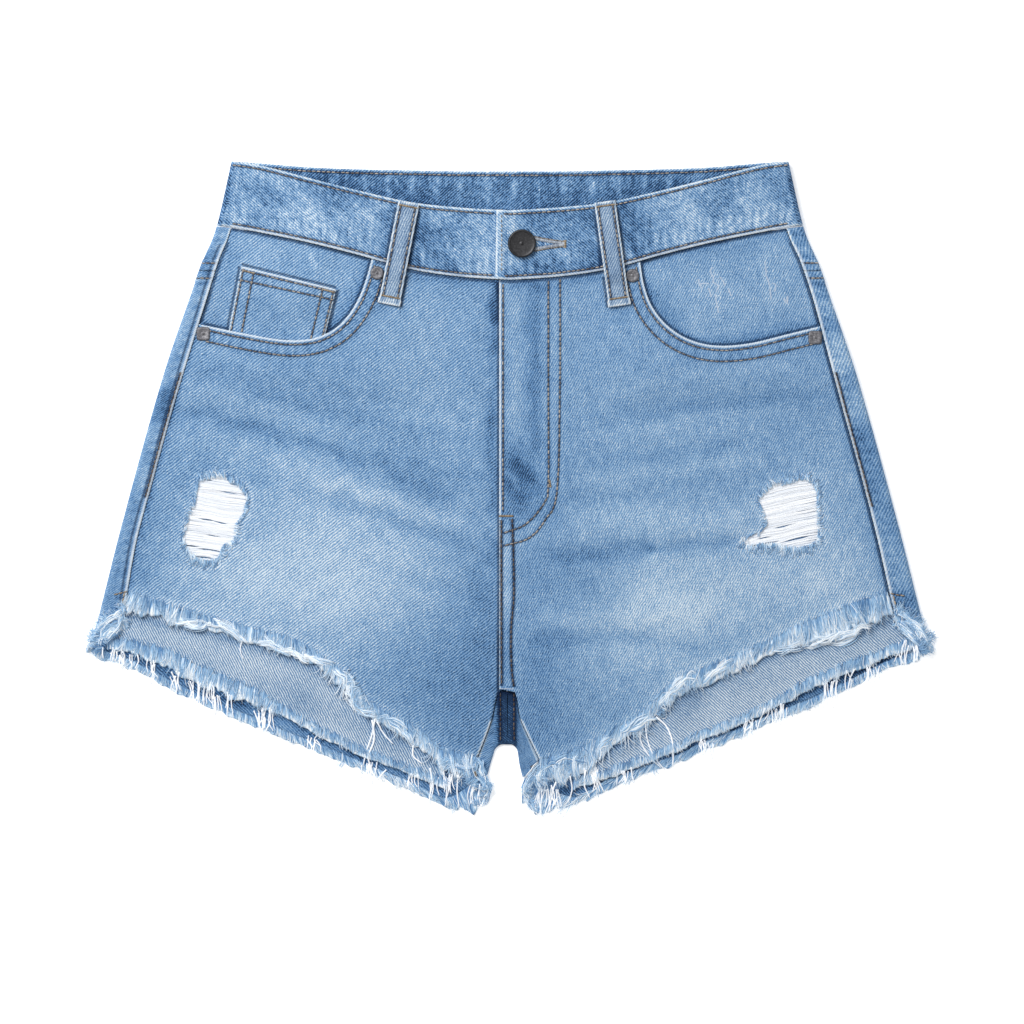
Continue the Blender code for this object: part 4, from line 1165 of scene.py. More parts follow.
def seam_end(side, height):
    """The front side of the side seam."""
    return seam_across(side, height) - SEAM_GAP / 2


def seam_run(side, top, bottom):
    """Points down the front side of the side seam."""
    heights = np.linspace(top, bottom, SEAM_STEPS + 1)
    return pairs(seam_end(side, heights), heights)


def inseam_run(side):
    """The inseam edge of the front panel, beside that of the back panel's gusset."""
    return beside(np.array(GUSSET[side], float)[1:, 2:], SEAM_GAP)


def hem_run(side):
    """The edge of the front panel's sound cloth, from the inseam to the side seam."""
    *rows, last = HEM[side][1:]
    middle = [(row.across, row.front_cloth) for row in rows]
    end = last.front_cloth
    return np.array([inseam_run(side)[-1], *middle, (seam_end(side, end), end)])


def front_lines(side):
    """The edges of a front panel: waist and pocket mouth, hem, centre and inseam, side seam."""
    scoop, inner = np.array(SCOOP[side], float), np.array(FRONT_INNER[side], float)
    inseam, hem = inseam_run(side), hem_run(side)
    top = waist_run(inner[0][0], scoop[0][0], 6)
    mouth_end = scoop[-1][1]
    mouth = np.vstack([top[-1:], scoop[1:-1], [(seam_end(side, mouth_end), mouth_end)]])
    front = np.vstack([top[:1], inner[1:]])
    front = at_lengths(front, np.linspace(0, lengths_along(front)[-1], 30))
    crotch = np.vstack([inner[-1:], inseam[:1]])
    return (Line(top, mouth, corners=[WAIST_SHARE]), Line(hem),
            Line(front, crotch, inseam, corners=CENTRE_SHARES),
            Line(seam_run(side, mouth_end, hem[-1][1])))


# Worn-through places, clockwise from the upper left corner, in squares of the drawing
HOLES = {
    LEFT: (
        (197, 482), (211, 477), (226, 478), (244, 491), (246, 508), (237, 526), (233, 541),
        (222, 549), (217, 560), (198, 560), (184, 545), (184, 528), (193, 504),
    ),
    RIGHT: (
        (758, 501), (771, 486), (789, 482), (806, 478), (816, 488), (819, 515), (818, 541),
        (799, 549), (771, 545), (750, 546), (741, 540), (764, 530), (763, 515),
    ),
}
LEAST_EDGE, LEAST_FACE = 0.2, 0.3


@functools.cache
def hole_outline(side):
    """The torn edge round a hole, in millimetres, closed and a little ragged."""
    corners = np.array([drawn(*corner) for corner in HOLES[side]])
    loop = spline(np.vstack([corners, corners[:1]]), 6)
    x, y = loop.T
    ragged = loop + 0.5 * pairs(ripple(x, y, 2.3, 41), ripple(x, y, 2.3, 42))
    ragged[-1] = ragged[0]
    return ragged


def within(outline, x, y):
    """Whether each point lies inside a closed outline."""
    inside = np.zeros(np.shape(x), bool)
    for (x1, y1), (x2, y2) in zip(outline, outline[1:]):
        crosses = (y1 > y) != (y2 > y)
        if y1 != y2:
            inside ^= crosses & (x < x1 + (y - y1) / (y2 - y1) * (x2 - x1))
    return inside


def cut_hole(mesh, side):
    """Takes a hole out of a mesh, draws the rim to its outline and clears slivers away."""
    outline = hole_outline(side)

    def cut(bm):
        middles = np.array([face.calc_center_median()[:2] for face in bm.faces]) / MM
        faces = [face for face, out in zip(bm.faces, within(outline, *middles.T)) if out]
        gone = set(faces)
        verts = dict.fromkeys(vert for face in faces for vert in face.verts)
        rim = [vert for vert in verts if any(face not in gone for face in vert.link_faces)]
        bmesh.ops.delete(bm, geom=faces, context="FACES")
        for vert in rim:
            far = np.hypot(*(outline - np.array(vert.co[:2]) / MM).T)
            vert.co.x, vert.co.y = outline[far.argmin()] * MM
        bmesh.ops.remove_doubles(bm, verts=rim, dist=LEAST_EDGE * MM)
        bm.normal_update()
        least = LEAST_FACE * MM * MM
        slivers = [f for f in bm.faces if abs(f.normal.z) < 0.5 or f.calc_area() < least]
        bmesh.ops.delete(bm, geom=slivers, context="FACES")

    return edit_mesh(mesh, cut)


# Rows of stitches of the fly and of the seam below it, in squares of the drawing
FLY_EDGE = ((503, 284), (503, 400), (503, 512))
FLY_ROWS = (
    ((548.4, 281), (548.4, 380), (548.4, 482), (544, 503), (526, 524), (503, 533.5)),
    ((560, 279), (560, 380), (557, 491), (545, 520), (529, 538), (503, 546)),
    ((501.4, 520), (501.4, 600), (501.6, 686)),
    ((512.3, 519), (513.7, 567), (513.7, 598), (511, 632), (511.6, 668), (514, 687)),
)


def front_cloth(side):
    point = between(*front_lines(side))

    def place(u, v):
        across, height = point(u, v)
        x, y = side * across, height
        inside, along = inside_mouth(side, across, height)
        wear = FRONT_TONE[side] + strokes(WEAR_AND_SHADE_FRONT[side], x, y)
        wear = wear + 0.02 * ripple(x, y, 30, 21) + 0.03 * ripple(x, y, 7, 22)
        # Painted highlights on the ridges of the puckers along the pocket mouth, and a darker band
        # between its rows
        wear = wear + (0.09 * mouth_puckers(along, x, y) - 0.04) * bump(-inside, 6, 2.8)
        # Darker along the mouth's stitch rows: partly unworn cloth, partly painted shade of their
        # grooves
        wear = wear - 0.08 * (bump(-inside, 2.6, 1.4) + bump(-inside, 9.4, 1.4))
        # A painted shadow along the side seam, where the strip stands above the front
        wear = wear - 0.26 * bump(seam_across(side, height) - across, 0.0, 1.7)
        wear = wear + 0.13 * bump(near_line(hem_run(side), across, height)[0], 0, 4.5)
        wear = wear + 0.12 * bump(near_line(hole_outline(side), x, y)[0], 0, 4.5)
        inseam = np.abs(near_line(inseam_run(side), across, height)[0])
        edge = np.minimum(np.abs(inside), inseam + 3 * smooth(height, -140, -134))
        if side == RIGHT:
            edge = np.minimum(edge, np.abs(near_line(FRONT_INNER[side], across, height)[0]))
            for row in FLY_ROWS:
                far = np.abs(near_line([drawn(*p) for p in row], x, y)[0])
                # Darker along the fly's rows, partly painted shade of their grooves, and paler beside
                # them
                wear = wear - 0.07 * bump(far, 0, 1.5) + 0.06 * bump(far, 2.4, 1.2)
        level = front_level(side, across, height)
        return laid_cloth(side, across, height, level, wear, edge)

    return place


def facing_cloth(side):
    """The facing behind a pocket mouth: it reaches under the front panel past the mouth's edge."""
    scoop = np.array(SCOOP[side], float)
    under = beside(scoop, -FACING_UNDER_FRONT)
    outer = seam_run(side, SIDE[1].height - SEAM_GAP, under[-1][1])
    top = waist_run(scoop[0][0] - FACING_UNDER_FRONT, outer[0][0], 7)
    outer[0] = top[-1]
    first = (top[0][0], scoop[0][1] - FACING_UNDER_FRONT)
    bottom = np.vstack([[first], under[1:-1], outer[-1:]])
    point = between(Line(top), Line(bottom), Line([top[0], first]), Line(outer))

    def place(u, v):
        across, height = point(u, v)
        x, y = side * across, height
        wear = 0.53 + strokes(WEAR_AND_SHADE_FACING[side], x, y) + 0.05 * ripple(x, y, 14, 24)
        # Painted shadows under the mouth's edge, along the side seam and under the waistband
        wear = wear - 0.16 * bump(inside_mouth(side, across, height)[0], 0, 3.2)
        wear = wear - 0.14 * bump(seam_across(side, height) - across, 0, 2.4)
        wear = wear - 0.10 * bump(waist(across) - height, 0, 2.6)
        level = facing_level(side, across, height)
        return laid_cloth(side, across, height, level, wear, 0 * u + UNWORN)

    return place


def coin_at(u, v):
    """Places of the coin pocket by shares from its inner to its outer edge, and down it."""
    u, v = (np.asarray(share, float)[..., None] for share in (u, v))
    return mix(mix(*COIN_TOP, u), mix(*COIN_BOTTOM, u), v)


def coin_cloth(u, v):
    across, height = coin_at(u, v).T
    x, y = -across, height
    from_side, from_top = np.minimum(u, 1 - u) * COIN_WIDE, v * COIN_TALL
    wear = 0.50 + 0.05 * ripple(x, y, 12, 26)
    # Darker along the stitch rows: partly unworn cloth, partly painted shade of their grooves
    for far, places in ((from_side, (1.4, 7.8)), (from_top, (2.4, 8.6))):
        wear = wear - 0.07 * sum(bump(far, place, 0.9) for place in places)
    roping = puckers(x, 5.2, ripple(x, y, 12, 27), 1.5)
    wear = wear + 0.07 * roping * bump(from_top, 5.5, 2.4)
    level = coin_level(LEFT, across, height) + 0.1
    return laid_cloth(LEFT, across, height, level, wear, np.minimum(from_side, from_top))


# ---- the back ----


class BackLine:
    """A line across a back piece: its flat run up to the fold, then its run over the fold."""

    def __init__(self, flat, fold_height, seam_height, side):
        start = fold_start(fold_height)
        turned = start + math.pi * SIDE_FOLD
        bend = (start, mix(flat[-1][1], fold_height, BEND_SHARE))
        middle = (fold_middle(fold_height), fold_height)
        above = (turned, mix(fold_height, seam_height, ON_TOP_SHARE))
        end = (seam_over_fold(side, seam_height), seam_height)
        self.flat = Line([*flat, bend])
        self.turn = Line([bend, middle, above, end])

    def at(self, shares):
        shares = np.asarray(shares, float)
        low = self.flat.at(np.clip(shares / FLAT_SHARE, 0, 1))
        high = self.turn.at(np.clip((shares - FLAT_SHARE) / (1 - FLAT_SHARE), 0, 1))
        return np.where((shares <= FLAT_SHARE)[..., None], low, high)


def seam_line(side, top, bottom):
    """The side seam's edge of a back piece, measured over the fold."""
    heights = np.linspace(top, bottom, SEAM_STEPS + 1)
    return Line(pairs(seam_over_fold(side, heights), heights))


def centre_back(side):
    """How far the centre-back seam lies out from the centre line, to this side's cloth."""
    return side * CENTRE_BACK + SEAM_GAP / 2


YOKE_BEND = mix(YOKE_CENTRE, YOKE_SIDE, YOKE_BEND_SHARE)


def yoke_seam(side, gap):
    return [(centre_back(side), YOKE_CENTRE + gap), (YOKE_BEND_ACROSS, YOKE_BEND + gap)]


def seam_puckers(side, far, height):
    return puckers(height, 6.2, ripple(side * 50 + far, height, 15, 51))


def strip_lift(side, across, height):
    """The ridge of the side seam on top of the shorts, and puckers beside it."""
    far = seam_over_fold(side, height) - across
    on_strip = smooth(across, fold_middle(height) - 4, fold_middle(height) + 2)
    tab = 0.45 * smooth(np.abs(height - YOKE_SIDE), 7.4, 5.8)
    pulled = 0.13 * seam_puckers(side, far, height) * bump(far, 4.5, 3.2)
    return on_strip * (tab + 0.26 * bump(far, 1.2, 1.4) + pulled)


def back_wear_and_shade(side, across, height, x):
    above = smooth(across, fold_middle(height) - 2, fold_middle(height) + 2)
    below = read(HEM[side], "facing_tip", across) - height
    # Painted shadow on the seat inside the leg, below the frayed edge of the hem facing
    shade = 0.34 + 0.2 * ripple(x, 0, 15, 58)
    seat = 0.50 + strokes(WEAR_SEAT, -np.abs(x), height, wander=0)
    seat = seat - shade * np.exp(-np.maximum(below, 0) / 3.4) * smooth(below, -6, 0)
    from_yoke = np.abs(height - YOKE_SIDE)
    strip = STRIP_TONE[side] + strokes(WEAR_STRIP, x, height) + 0.14 * ripple(x, height, 11, 52)
    # Darker just beyond the raised tab at the yoke seam, and paler along its edge
    strip = strip - 0.20 * bump(from_yoke, 7.6, 1.3) + 0.12 * bump(from_yoke, 5.9, 0.9)
    far = seam_over_fold(side, height) - across
    # Painted highlights on the ridges of the puckers beside the side seam, and painted shade in their
    # hollows
    strip = strip + 0.09 * seam_puckers(side, far, height) * bump(far, 4.5, 3.2)
    hem = 1 - smooth(height, -170, -60) * above
    return mix(seat, strip, above) - 0.04 * hem


def back_piece(side, *lines):
    point = between(*lines)

    def place(u, v):
        across, height = point(u, v)
        points = place_back(side, across, height, strip_lift(side, across, height))
        wear = back_wear_and_shade(side, across, height, points[:, 0])
        edge = np.abs(seam_over_fold(side, height) - across)
        return Cloth(points, pairs(side * across, height), wear, edge)

    return place


# Where the dark strip of the crotch seam ends on each side
GUSSET_STRIP = {LEFT: 6.6, RIGHT: 3.6}
GUSSET_OVERLAP = 0.8
GUSSET_TURNED = 0.5


def gusset_lines(side):
    """The crotch and inner-leg silhouette, where the cloth turns up; the line inside it where the
    floor side begins to turn; and the edge of the cloth that comes over."""
    rows = np.array(GUSSET[side], float)
    return rows[:, :2], beside(rows[:, :2], CLOTH / 2 + GUSSET_FOLD), rows[:, 2:]


def gusset_cloth(side):
    """The cloth of a back panel that turns over the crotch and the inner leg onto the top."""
    folds, starts, edges = gusset_lines(side)
    starts, ways, edges = Line(starts), Line(starts - folds), Line(edges)

    def place(u, v):
        start, way, edge = starts.at(v), unit(ways.at(v)), edges.at(v)
        if side == LEFT:
            for line in (start, edge):
                line[:, 0] -= GUSSET_OVERLAP * (1 - smooth(v, 0, 0.12))
        turn = math.pi * np.clip(u / GUSSET_TURNED, 0, 1)
        flat = np.clip((u - GUSSET_TURNED) / (1 - GUSSET_TURNED), 0, 1)[:, None]
        folded = start - way * GUSSET_FOLD * np.sin(turn)[:, None]
        at = np.where((u <= GUSSET_TURNED)[:, None], folded, mix(start, edge, flat))
        across, height = at.T
        points = to_world(side, across, height, mix(CLOTH / 2, GUSSET_HEIGHT, half_turn(turn)))
        strip = GUSSET_STRIP[side]
        crotch, seam = smooth(height, -150, -158), smooth(across, strip - 0.4, strip + 0.9)
        # Painted shadows under the front panels' crotch edge and beside the dark seam strip
        shade = 0.34 * bump(height, -121, 5) + 0.2 * bump(across, strip + 0.6, 1.1)
        wear = mix(-0.06, 0.34, seam) + 0.05 * ripple(across, height, 4, 61) + 0.06 * crotch
        far = np.linalg.norm(at - edge, axis=1) + np.where(u < GUSSET_TURNED, UNWORN, 0)
        far = np.maximum(far - 0.8, 0) + UNWORN * smooth(height, -138, -134)
        return Cloth(points, pairs(side * across + u * 12, height + u * 12), wear - shade, far)

    return place


def back_hem(side):
    """The edge of the sound cloth of the back panel, from the inner leg to the side seam."""
    flat = [(row.across, row.back_tip + BACK_FRINGE) for row in HEM[side][1:]]
    return BackLine([gusset_lines(side)[1][-1], *flat], STRIP_HEM_FOLD, STRIP_HEM_SEAM, side)


def back_panel_mesh(side, name):
    """The back panel's floor side and strip on top, joined to its turned-up gusset."""
    starts = gusset_lines(side)[1]
    seam_top = YOKE_SIDE - SEAM_GAP
    top = BackLine(yoke_seam(side, -SEAM_GAP / 2), seam_top, seam_top, side)
    inner = Line([top.at([0])[0], starts[0]], starts, corners=[BACK_CORNER])
    outer = seam_line(side, seam_top, STRIP_HEM_SEAM)
    place = back_piece(side, top, back_hem(side), inner, outer)
    mesh = cloth_mesh(name, BACK_GRID, place)
    gusset = cloth_mesh("gusset", GUSSET_GRID, gusset_cloth(side))

    def sew(bm):
        bm.from_mesh(gusset)
        bmesh.ops.remove_doubles(bm, verts=bm.verts, dist=0.05 * MM)
        bmesh.ops.recalc_face_normals(bm, faces=bm.faces)

    edit_mesh(mesh, sew)
    bpy.data.meshes.remove(gusset)
    return mesh


def yoke_cloth(side):
    flat = np.array((centre_back(side), 60, 120))
    below_band = band_edges(np.maximum(flat, 0), "back")[1] - SEAM_GAP
    fold_top = band_edges(BAND_END, "back")[1] - SEAM_GAP
    seam_top = waist(seam_across(side, fold_top)) - SEAM_GAP
    top = BackLine(pairs(flat, below_band), fold_top, seam_top, side)
    bottom = BackLine(yoke_seam(side, SEAM_GAP / 2), YOKE_SIDE, YOKE_SIDE, side)
    inner = Line([top.at([0])[0], bottom.at([0])[0]])
    return back_piece(side, top, bottom, inner, seam_line(side, seam_top, YOKE_SIDE))


def pocket_corners():
    """Corners of a back patch pocket, from its top on the inner side round below to the outer."""
    half_top, half_bottom = POCKET_TOP_WIDTH / 2, POCKET_BOTTOM_WIDTH / 2
    corners = (
        (-half_top, -POCKET_TILT),
        (-half_bottom, -POCKET_SIDE_HEIGHT),
        (0, -POCKET_POINT_HEIGHT),
        (half_bottom, -POCKET_SIDE_HEIGHT + POCKET_TILT),
        (half_top, 0),
    )
    return np.array(corners, float) + (POCKET_CENTRE, POCKET_TOP)


def straight(*points):
    """A line with a corner at each of its points, by equal shares."""
    runs = [np.array([a, b]) for a, b in zip(points, points[1:])]
    return Line(*runs, corners=[i / len(runs) for i in range(1, len(runs))])


def back_pocket_cloth(side):
    left, low_left, low_point, low_right, right = pocket_corners()
    point = between(straight(left, right), straight(low_left, low_point, low_right),
                    straight(left, low_left), straight(right, low_right))

    def place(u, v):
        across, height = point(u, v)
        x, y = side * across, height
        from_side, from_end = np.minimum(u, 1 - u), np.minimum(v, 1 - v)
        far = np.minimum(from_side * POCKET_WIDE, from_end * POCKET_TALL)
        wear = 0.52 + 0.12 * bump(far, 30, 28) + 0.06 * ripple(x, y, 16, 61)
        # Darker along the stitch rows: partly unworn cloth, partly painted shade of their grooves
        wear = wear - 0.07 * (bump(far, 2.2, 0.9) + bump(far, 8.4, 0.9))
        level = CLOTH / 2 + 0.05 * ripple(x, y, 10, 62)
        return laid_cloth(side, across, height, level, wear, far)

    return place


def facing_columns(side, first, second):
    """Two lines along a hem facing, read from the hem's table."""
    rows = [row for row in HEM[side] if row.across > FACING_INNER] + [FACING_END[side]]
    return [[(row.across, getattr(row, name)) for row in rows] for name in (first, second)]


def hem_facing_cloth(side):
    top, bottom = facing_columns(side, "front_cloth", "facing_cloth")
    top = np.array(top) + (0, FACING_ABOVE_HEM)
    ends = [Line([top[end], bottom[end]]) for end in (0, -1)]
    point = between(Line(top), Line(bottom), *ends)

    def place(u, v):
        across, height = point(u, v)
        x, y = side * across, height
        below = read(HEM[side], "front_tip", across) - height
        wear = 0.70 + strokes(WEAR_AND_SHADE_HEM_FACING[side], x, y) + 0.05 * ripple(x, y, 18, 64)
        # Painted shadow under the front panel's frayed hem
        wear = wear - 0.30 * np.exp(-np.maximum(below, 0) / 3.2) * smooth(below, -4, 0)
        level = hem_facing_level(side, across, height)
        return laid_cloth(side, across, height, level, wear, 0 * u + UNWORN)

    return place


# ---- belt loops ----


def loop_frame(side):
    """Top and bottom of a front belt loop, its length, and the way to its side, half its width."""
    top, bottom = np.array(LOOPS_FRONT[side], float)
    tall = np.linalg.norm(bottom - top)
    return top, bottom, tall, left_of(bottom - top) / tall * LOOP_WIDTH / 2


@functools.cache
def loop_levels(side):
    """The height of a front belt loop's middle surface, from its top to its bottom end: it
    clears the waistband and, below that, the front panel."""
    top, bottom, _, half = loop_frame(side)
    levels = []
    for step in range(LOOP_ROWS + 1):
        shares = np.clip((step + np.array((-1, 0, 1))) / LOOP_ROWS, 0, 1)
        places = [mix(top, bottom, share) + half * out for share in shares for out in (-1, 0, 1)]
        across, height = np.array(places).T
        over_band = band_height(side, across) + BAND_WALL / 2
        over_front = front_height(side, across, height) + CLOTH / 2
        highest = np.where(height > waist(across) - 1, over_band, over_front).max()
        ease = LOOP_EASE * math.sin(math.pi * step / LOOP_ROWS)
        levels.append((step / LOOP_ROWS, highest + LAYER_GAP + LOOP_WALL / 2 + ease))
    return spline(levels)


def loop_surface(side, lift=0):
    """Places over a front belt loop from (sideways from its middle, along it from its top)."""
    top, bottom, tall, half = loop_frame(side)

    def place(spots):
        sideways, share = spots[:, :1] * 2 / LOOP_WIDTH, spots[:, 1:] / tall
        at = mix(top, bottom, share) + half * sideways
        level = np.interp(share[:, 0], *loop_levels(side).T)
        return to_world(side, *at.T, level + lift)

    return place


def front_loop_cloth(side):
    place_on, tall = loop_surface(side), loop_frame(side)[2]

    def place(u, v):
        tab = smooth(v, 0.93, 0.95)
        points = place_on(pairs((u - 0.5) * LOOP_WIDTH * (1 + 0.09 * tab), v * tall))
        far = np.minimum(u, 1 - u) * LOOP_WIDTH
        x, y = points[:, 0], points[:, 1]
        points[:, 2] += 0.12 * bump(far, 0.4, 0.9) + 0.16 * bump(far, 5.5, 2.6) - 0.1 + 0.3 * tab
        # Darker along the stitch rows: partly unworn cloth, partly painted shade of their grooves
        wear = 0.45 + 0.08 * bump(far, 6, 2.5) - 0.22 * bump(far, 1.9, 0.8) + 0.12 * tab
        edge = np.minimum(far, np.minimum(v, 1 - v) * LOOP_LENGTH_BACK)
        return Cloth(points, pairs(x, y), wear + 0.05 * ripple(x, y, 7, 66), edge)

    return place


def loop_top(across):
    """The top of a back belt loop, at the waistband's upper edge."""
    return band_edges(across, "back")[0]


def back_loop_cloth(across):
    def place(u, v):
        x, y = across + (u - 0.5) * LOOP_WIDTH, loop_top(across) - v * LOOP_LENGTH_BACK
        far = np.minimum(u, 1 - u) * LOOP_WIDTH
        # Darker along the stitch rows: partly unworn cloth, partly painted shade of their grooves
        return laid_cloth(1, x, y, CLOTH / 2, 0.52 - 0.1 * bump(far, 1.9, 0.8), far)

    return place


# ---- stitches ----

STITCH_STEPS = 5
STITCH_ARCH = np.array((-0.30, 0.10, 0.16, 0.10, -0.30))
STITCH_TAPER = np.array((0.55, 1.0, 1.0, 1.0, 0.55))
LINE_STEP, STRIP_STEP = 1.0, 1.5
GROOVE_SHADE_WIDTH = {"brown": 1.3, "dark_brown": 2.1, "orange": 1.0}
STRIP_DROP = {"groove": 0.07, "shadow": 0.08, "ridge": 0.06}


def resampled(line, step=LINE_STEP):
    """Points of a polyline, evenly spaced."""
    line = np.asarray(line, float)
    total = lengths_along(line)[-1]
    return at_lengths(line, np.linspace(0, total, max(int(total / step), 1) + 1))


def trimmed(line, start, end):
    """A polyline without its first start and its last end millimetres."""
    return at_lengths(line, np.arange(start, lengths_along(line)[-1] - end, LINE_STEP))


class Sewing:
    """Collects rows of stitches and bars of satin stitch, each kind of thread in one mesh."""

    def __init__(self, thread):
        self.length, self.gap = thread.stitch_length / MM, thread.stitch_gap / MM
        self.radius = thread.stitch_radius / MM
        self.paths, self.sizes = {}, {}
        self.strips = {kind: [] for kind in STRIP_DROP}
        self.random = np.random.default_rng(7)

    def add(self, kind, paths, radius):
        self.paths.setdefault(kind, []).append(paths)
        sizes = np.broadcast_to(STITCH_TAPER * radius, paths.shape[:2])
        self.sizes.setdefault(kind, []).append(sizes)

    def strip(self, kind, line, place, width, up=1):
        """A soft painted shade of a trough, a painted shadow or a pale worn ridge along a line, fading
        out at width from it.
        """
        track = resampled(line, STRIP_STEP)
        strip = np.stack([place(beside(track, far)) for far in (-width, 0, width)], axis=1)
        self.strips[kind].append(strip - (0, 0, up * STRIP_DROP[kind]))

    def row(self, kind, line, place, up=1):
        """A row of stitches along a line on the cloth, which place puts on its surface."""
        spots = place(resampled(line))
        # Painted shade along the groove that the row sinks into
        self.strip("groove", line, place, GROOVE_SHADE_WIDTH[kind], up)
        total = lengths_along(spots)[-1]
        starts = np.arange(0, total - self.length * 0.7, self.length + self.gap)
        starts = starts + self.random.normal(0, 0.08, len(starts))
        lengths = starts[:, None] + np.linspace(0, 1, STITCH_STEPS) * self.length
        paths = at_lengths(spots, np.clip(lengths, 0, total))
        paths[..., 2] += up * STITCH_ARCH
        paths[..., :2] += self.random.normal(0, 0.07, (len(starts), 1, 2))
        self.add(kind, paths, self.radius)

    def bar(self, kind, line, place, width, spacing=0.42):
        """A bar of satin stitch: threads laid side by side across a line."""
        line = resampled(line, spacing)
        out = left_of(unit(np.gradient(line, axis=0))) * width / 2
        out = out * self.random.uniform(0.8, 1.15, (len(line), 1))
        spots = line[:, None] + out[:, None] * np.linspace(-1, 1, STITCH_STEPS)[:, None]
        paths = place(spots.reshape(-1, 2)).reshape(len(line), STITCH_STEPS, 3)
        paths[..., 2] += STITCH_ARCH + 0.15
        self.add(kind, paths, spacing * 0.62)

    def add_stitches(self, context):
        for kind, paths in self.paths.items():
            paths, sizes = np.concatenate(paths), np.concatenate(self.sizes[kind])
            shade = self.random.uniform(0.1, 0.9, (len(paths), 1))
            look = yarn(context, f"thread_{kind}")
            add_threads(f"stitches_{kind}", (paths, sizes, shade), look, slot="denim")

    def add_strips(self, kind, colour, strength):
        faces, first = [], 0
        for strip in self.strips[kind]:
            index = np.arange(len(strip) * 3).reshape(-1, 3) + first
            first += index.size
            near, far = index[:-1], index[1:]
            quads = np.stack([near[:, :-1], near[:, 1:], far[:, 1:], far[:, :-1]], axis=-1)
            faces += quads.reshape(-1, 4).tolist()
        points = np.concatenate(self.strips[kind]).reshape(-1, 3)
        name = f"seam_{kind}"
        mesh = mesh_of(f"{name}s", points, faces)
        set_attribute(mesh, "fade", np.tile((0.0, 1.0, 0.0), len(points) // 3))
        look = material(name, lambda: strip_look(name, colour, strength))
        add_object(f"{name}s", mesh, look, "denim")


# The level of a piece, and how high the thread lies over it
ON_SHELL, ON_BAND = SHELL / 2 + 0.16, BAND_SHELL / 2 + 0.16
SURFACES = {
    "front": (front_level, ON_SHELL),
    "facing": (facing_level, ON_SHELL),
    "coin": (coin_level, ON_SHELL + 0.1),
    "band": (band_level, ON_BAND),
}


def over(side, piece):
    """Places on the surface of a piece, from points (across, height)."""
    level, lift = SURFACES[piece]
    return lambda line: to_world(side, *line.T, level(side, *line.T) + lift)


def at_level(side, level):
    return lambda line: to_world(side, *line.T, level)


def under_seat(side):
    """Places on the underside of the back pieces."""

    def place(line):
        points = place_back(side, *line.T, SHELL / 2 + 0.05)
        points[:, 2] = np.maximum(points[:, 2], LOWEST)
        return points

    return place


def on_strip(side):
    """Places on the strips of the back pieces that lie on top."""
    return lambda line: place_back(side, *line.T, strip_lift(side, *line.T) + ON_SHELL)


# Scratches across the right pocket facing, in squares of the drawing
SCRATCHES = (
    ((698.5, 279), (699, 284), (702.5, 289)), ((700, 284), (705, 283), (709, 284)),
    ((712, 267), (710, 272), (713.5, 277), (713, 283)), ((708.5, 288), (710, 292), (711, 297)),
    ((715, 294), (716.5, 303), (718.5, 313)), ((720, 277), (723, 281), (725, 286)),
    ((714, 283), (719, 286), (716, 292)), ((728.5, 288), (731, 296)),
    ((764.5, 262), (766, 270), (766, 276)), ((766, 276), (768.5, 281), (770, 288), (771, 299)),
    ((772, 283), (776, 284), (774.5, 292)), ((784, 298), (786, 303), (787.5, 295), (787.5, 304)),
)


def sew_edges(sewing, side):
    """The contact shadows and worn ridges of the seams on top."""
    front, facing, band = over(side, "front"), over(side, "facing"), over(side, "band")
    mouth, mouth_end = scoop_line(side), SCOOP[side][-1][1]
    sewing.strip("ridge", trimmed(beside(mouth, -0.7), 1, 1), front, 1.0)
    sewing.strip("shadow", trimmed(beside(mouth, 1.0), 1, 1), facing, 1.5)
    if side == RIGHT:
        for scratch in SCRATCHES:
            sewing.strip("ridge", from_drawing(side, scratch, smoothed=False), facing, 0.9)
        seam = seam_run(side, mouth_end - 2, STRIP_HEM_SEAM + 9)
        sewing.strip("shadow", seam - (0.9, 0), front, 1.5)
    heights = np.linspace(147, STRIP_HEM_SEAM + 3, 60)
    seam = pairs(seam_over_fold(side, heights) - 1.0, heights)
    sewing.strip("ridge", seam, on_strip(side), 1.25)
    if side == LEFT:
        sewing.strip("shadow", seam - (2.4, 0), on_strip(side), 1.5)
    heights = np.linspace(148, mouth_end + 1, 20)
    sewing.strip("shadow", pairs(seam_across(side, heights) - 1.2, heights), facing, 1.5)
    across = np.linspace(half_width(160) - 8, 9 if side == LEFT else -7.5, 120)
    sewing.strip("ridge", pairs(across, waist(across) + 0.8), band, 1.1)
    under, inner = pairs(across, waist(across) - 1.3), mouth[0, 0] - 1
    sewing.strip("shadow", under[across < inner], front, 1.6)
    sewing.strip("shadow", under[across > inner + 2], facing, 1.6)
    for sideways in (-LOOP_WIDTH / 2 - 0.9, LOOP_WIDTH / 2 + 0.9):
        line = beside(loop_frame(side)[:2], sideways)
        for shares, place in (((0.07, 0.5, 0.62), band), ((0.7, 0.85, 1.0), front)):
            sewing.strip("shadow", [mix(*line, share) for share in shares], place, 1.9)
    inseam = spline(beside(inseam_run(side), 0.5))[3:-3]
    sewing.strip("ridge", inseam[inseam[:, 1] < -139], front, 0.75)


# Short rows across and down the side strips over the hems, in squares of the drawing
STRIP_ROWS = {
    LEFT: (((114, 594.5), (127, 591.5)), ((124.5, 593), (120.8, 609))),
    RIGHT: (((891, 593.5), (905, 596)), ((893.5, 596), (898, 613))),
}


def sew_front(sewing, side):
    front, mouth = over(side, "front"), scoop_line(side)
    sewing.row("brown", trimmed(beside(mouth, -2.7), 3, 3), front)
    sewing.row("brown", trimmed(beside(mouth, -9.3), 7 if side == LEFT else 12, 5), front)
    for line in STRIP_ROWS[side]:
        line = from_drawing(side, line, smoothed=False)
        sewing.row("orange", line, at_level(side, STRIP_HEIGHT + 0.9))


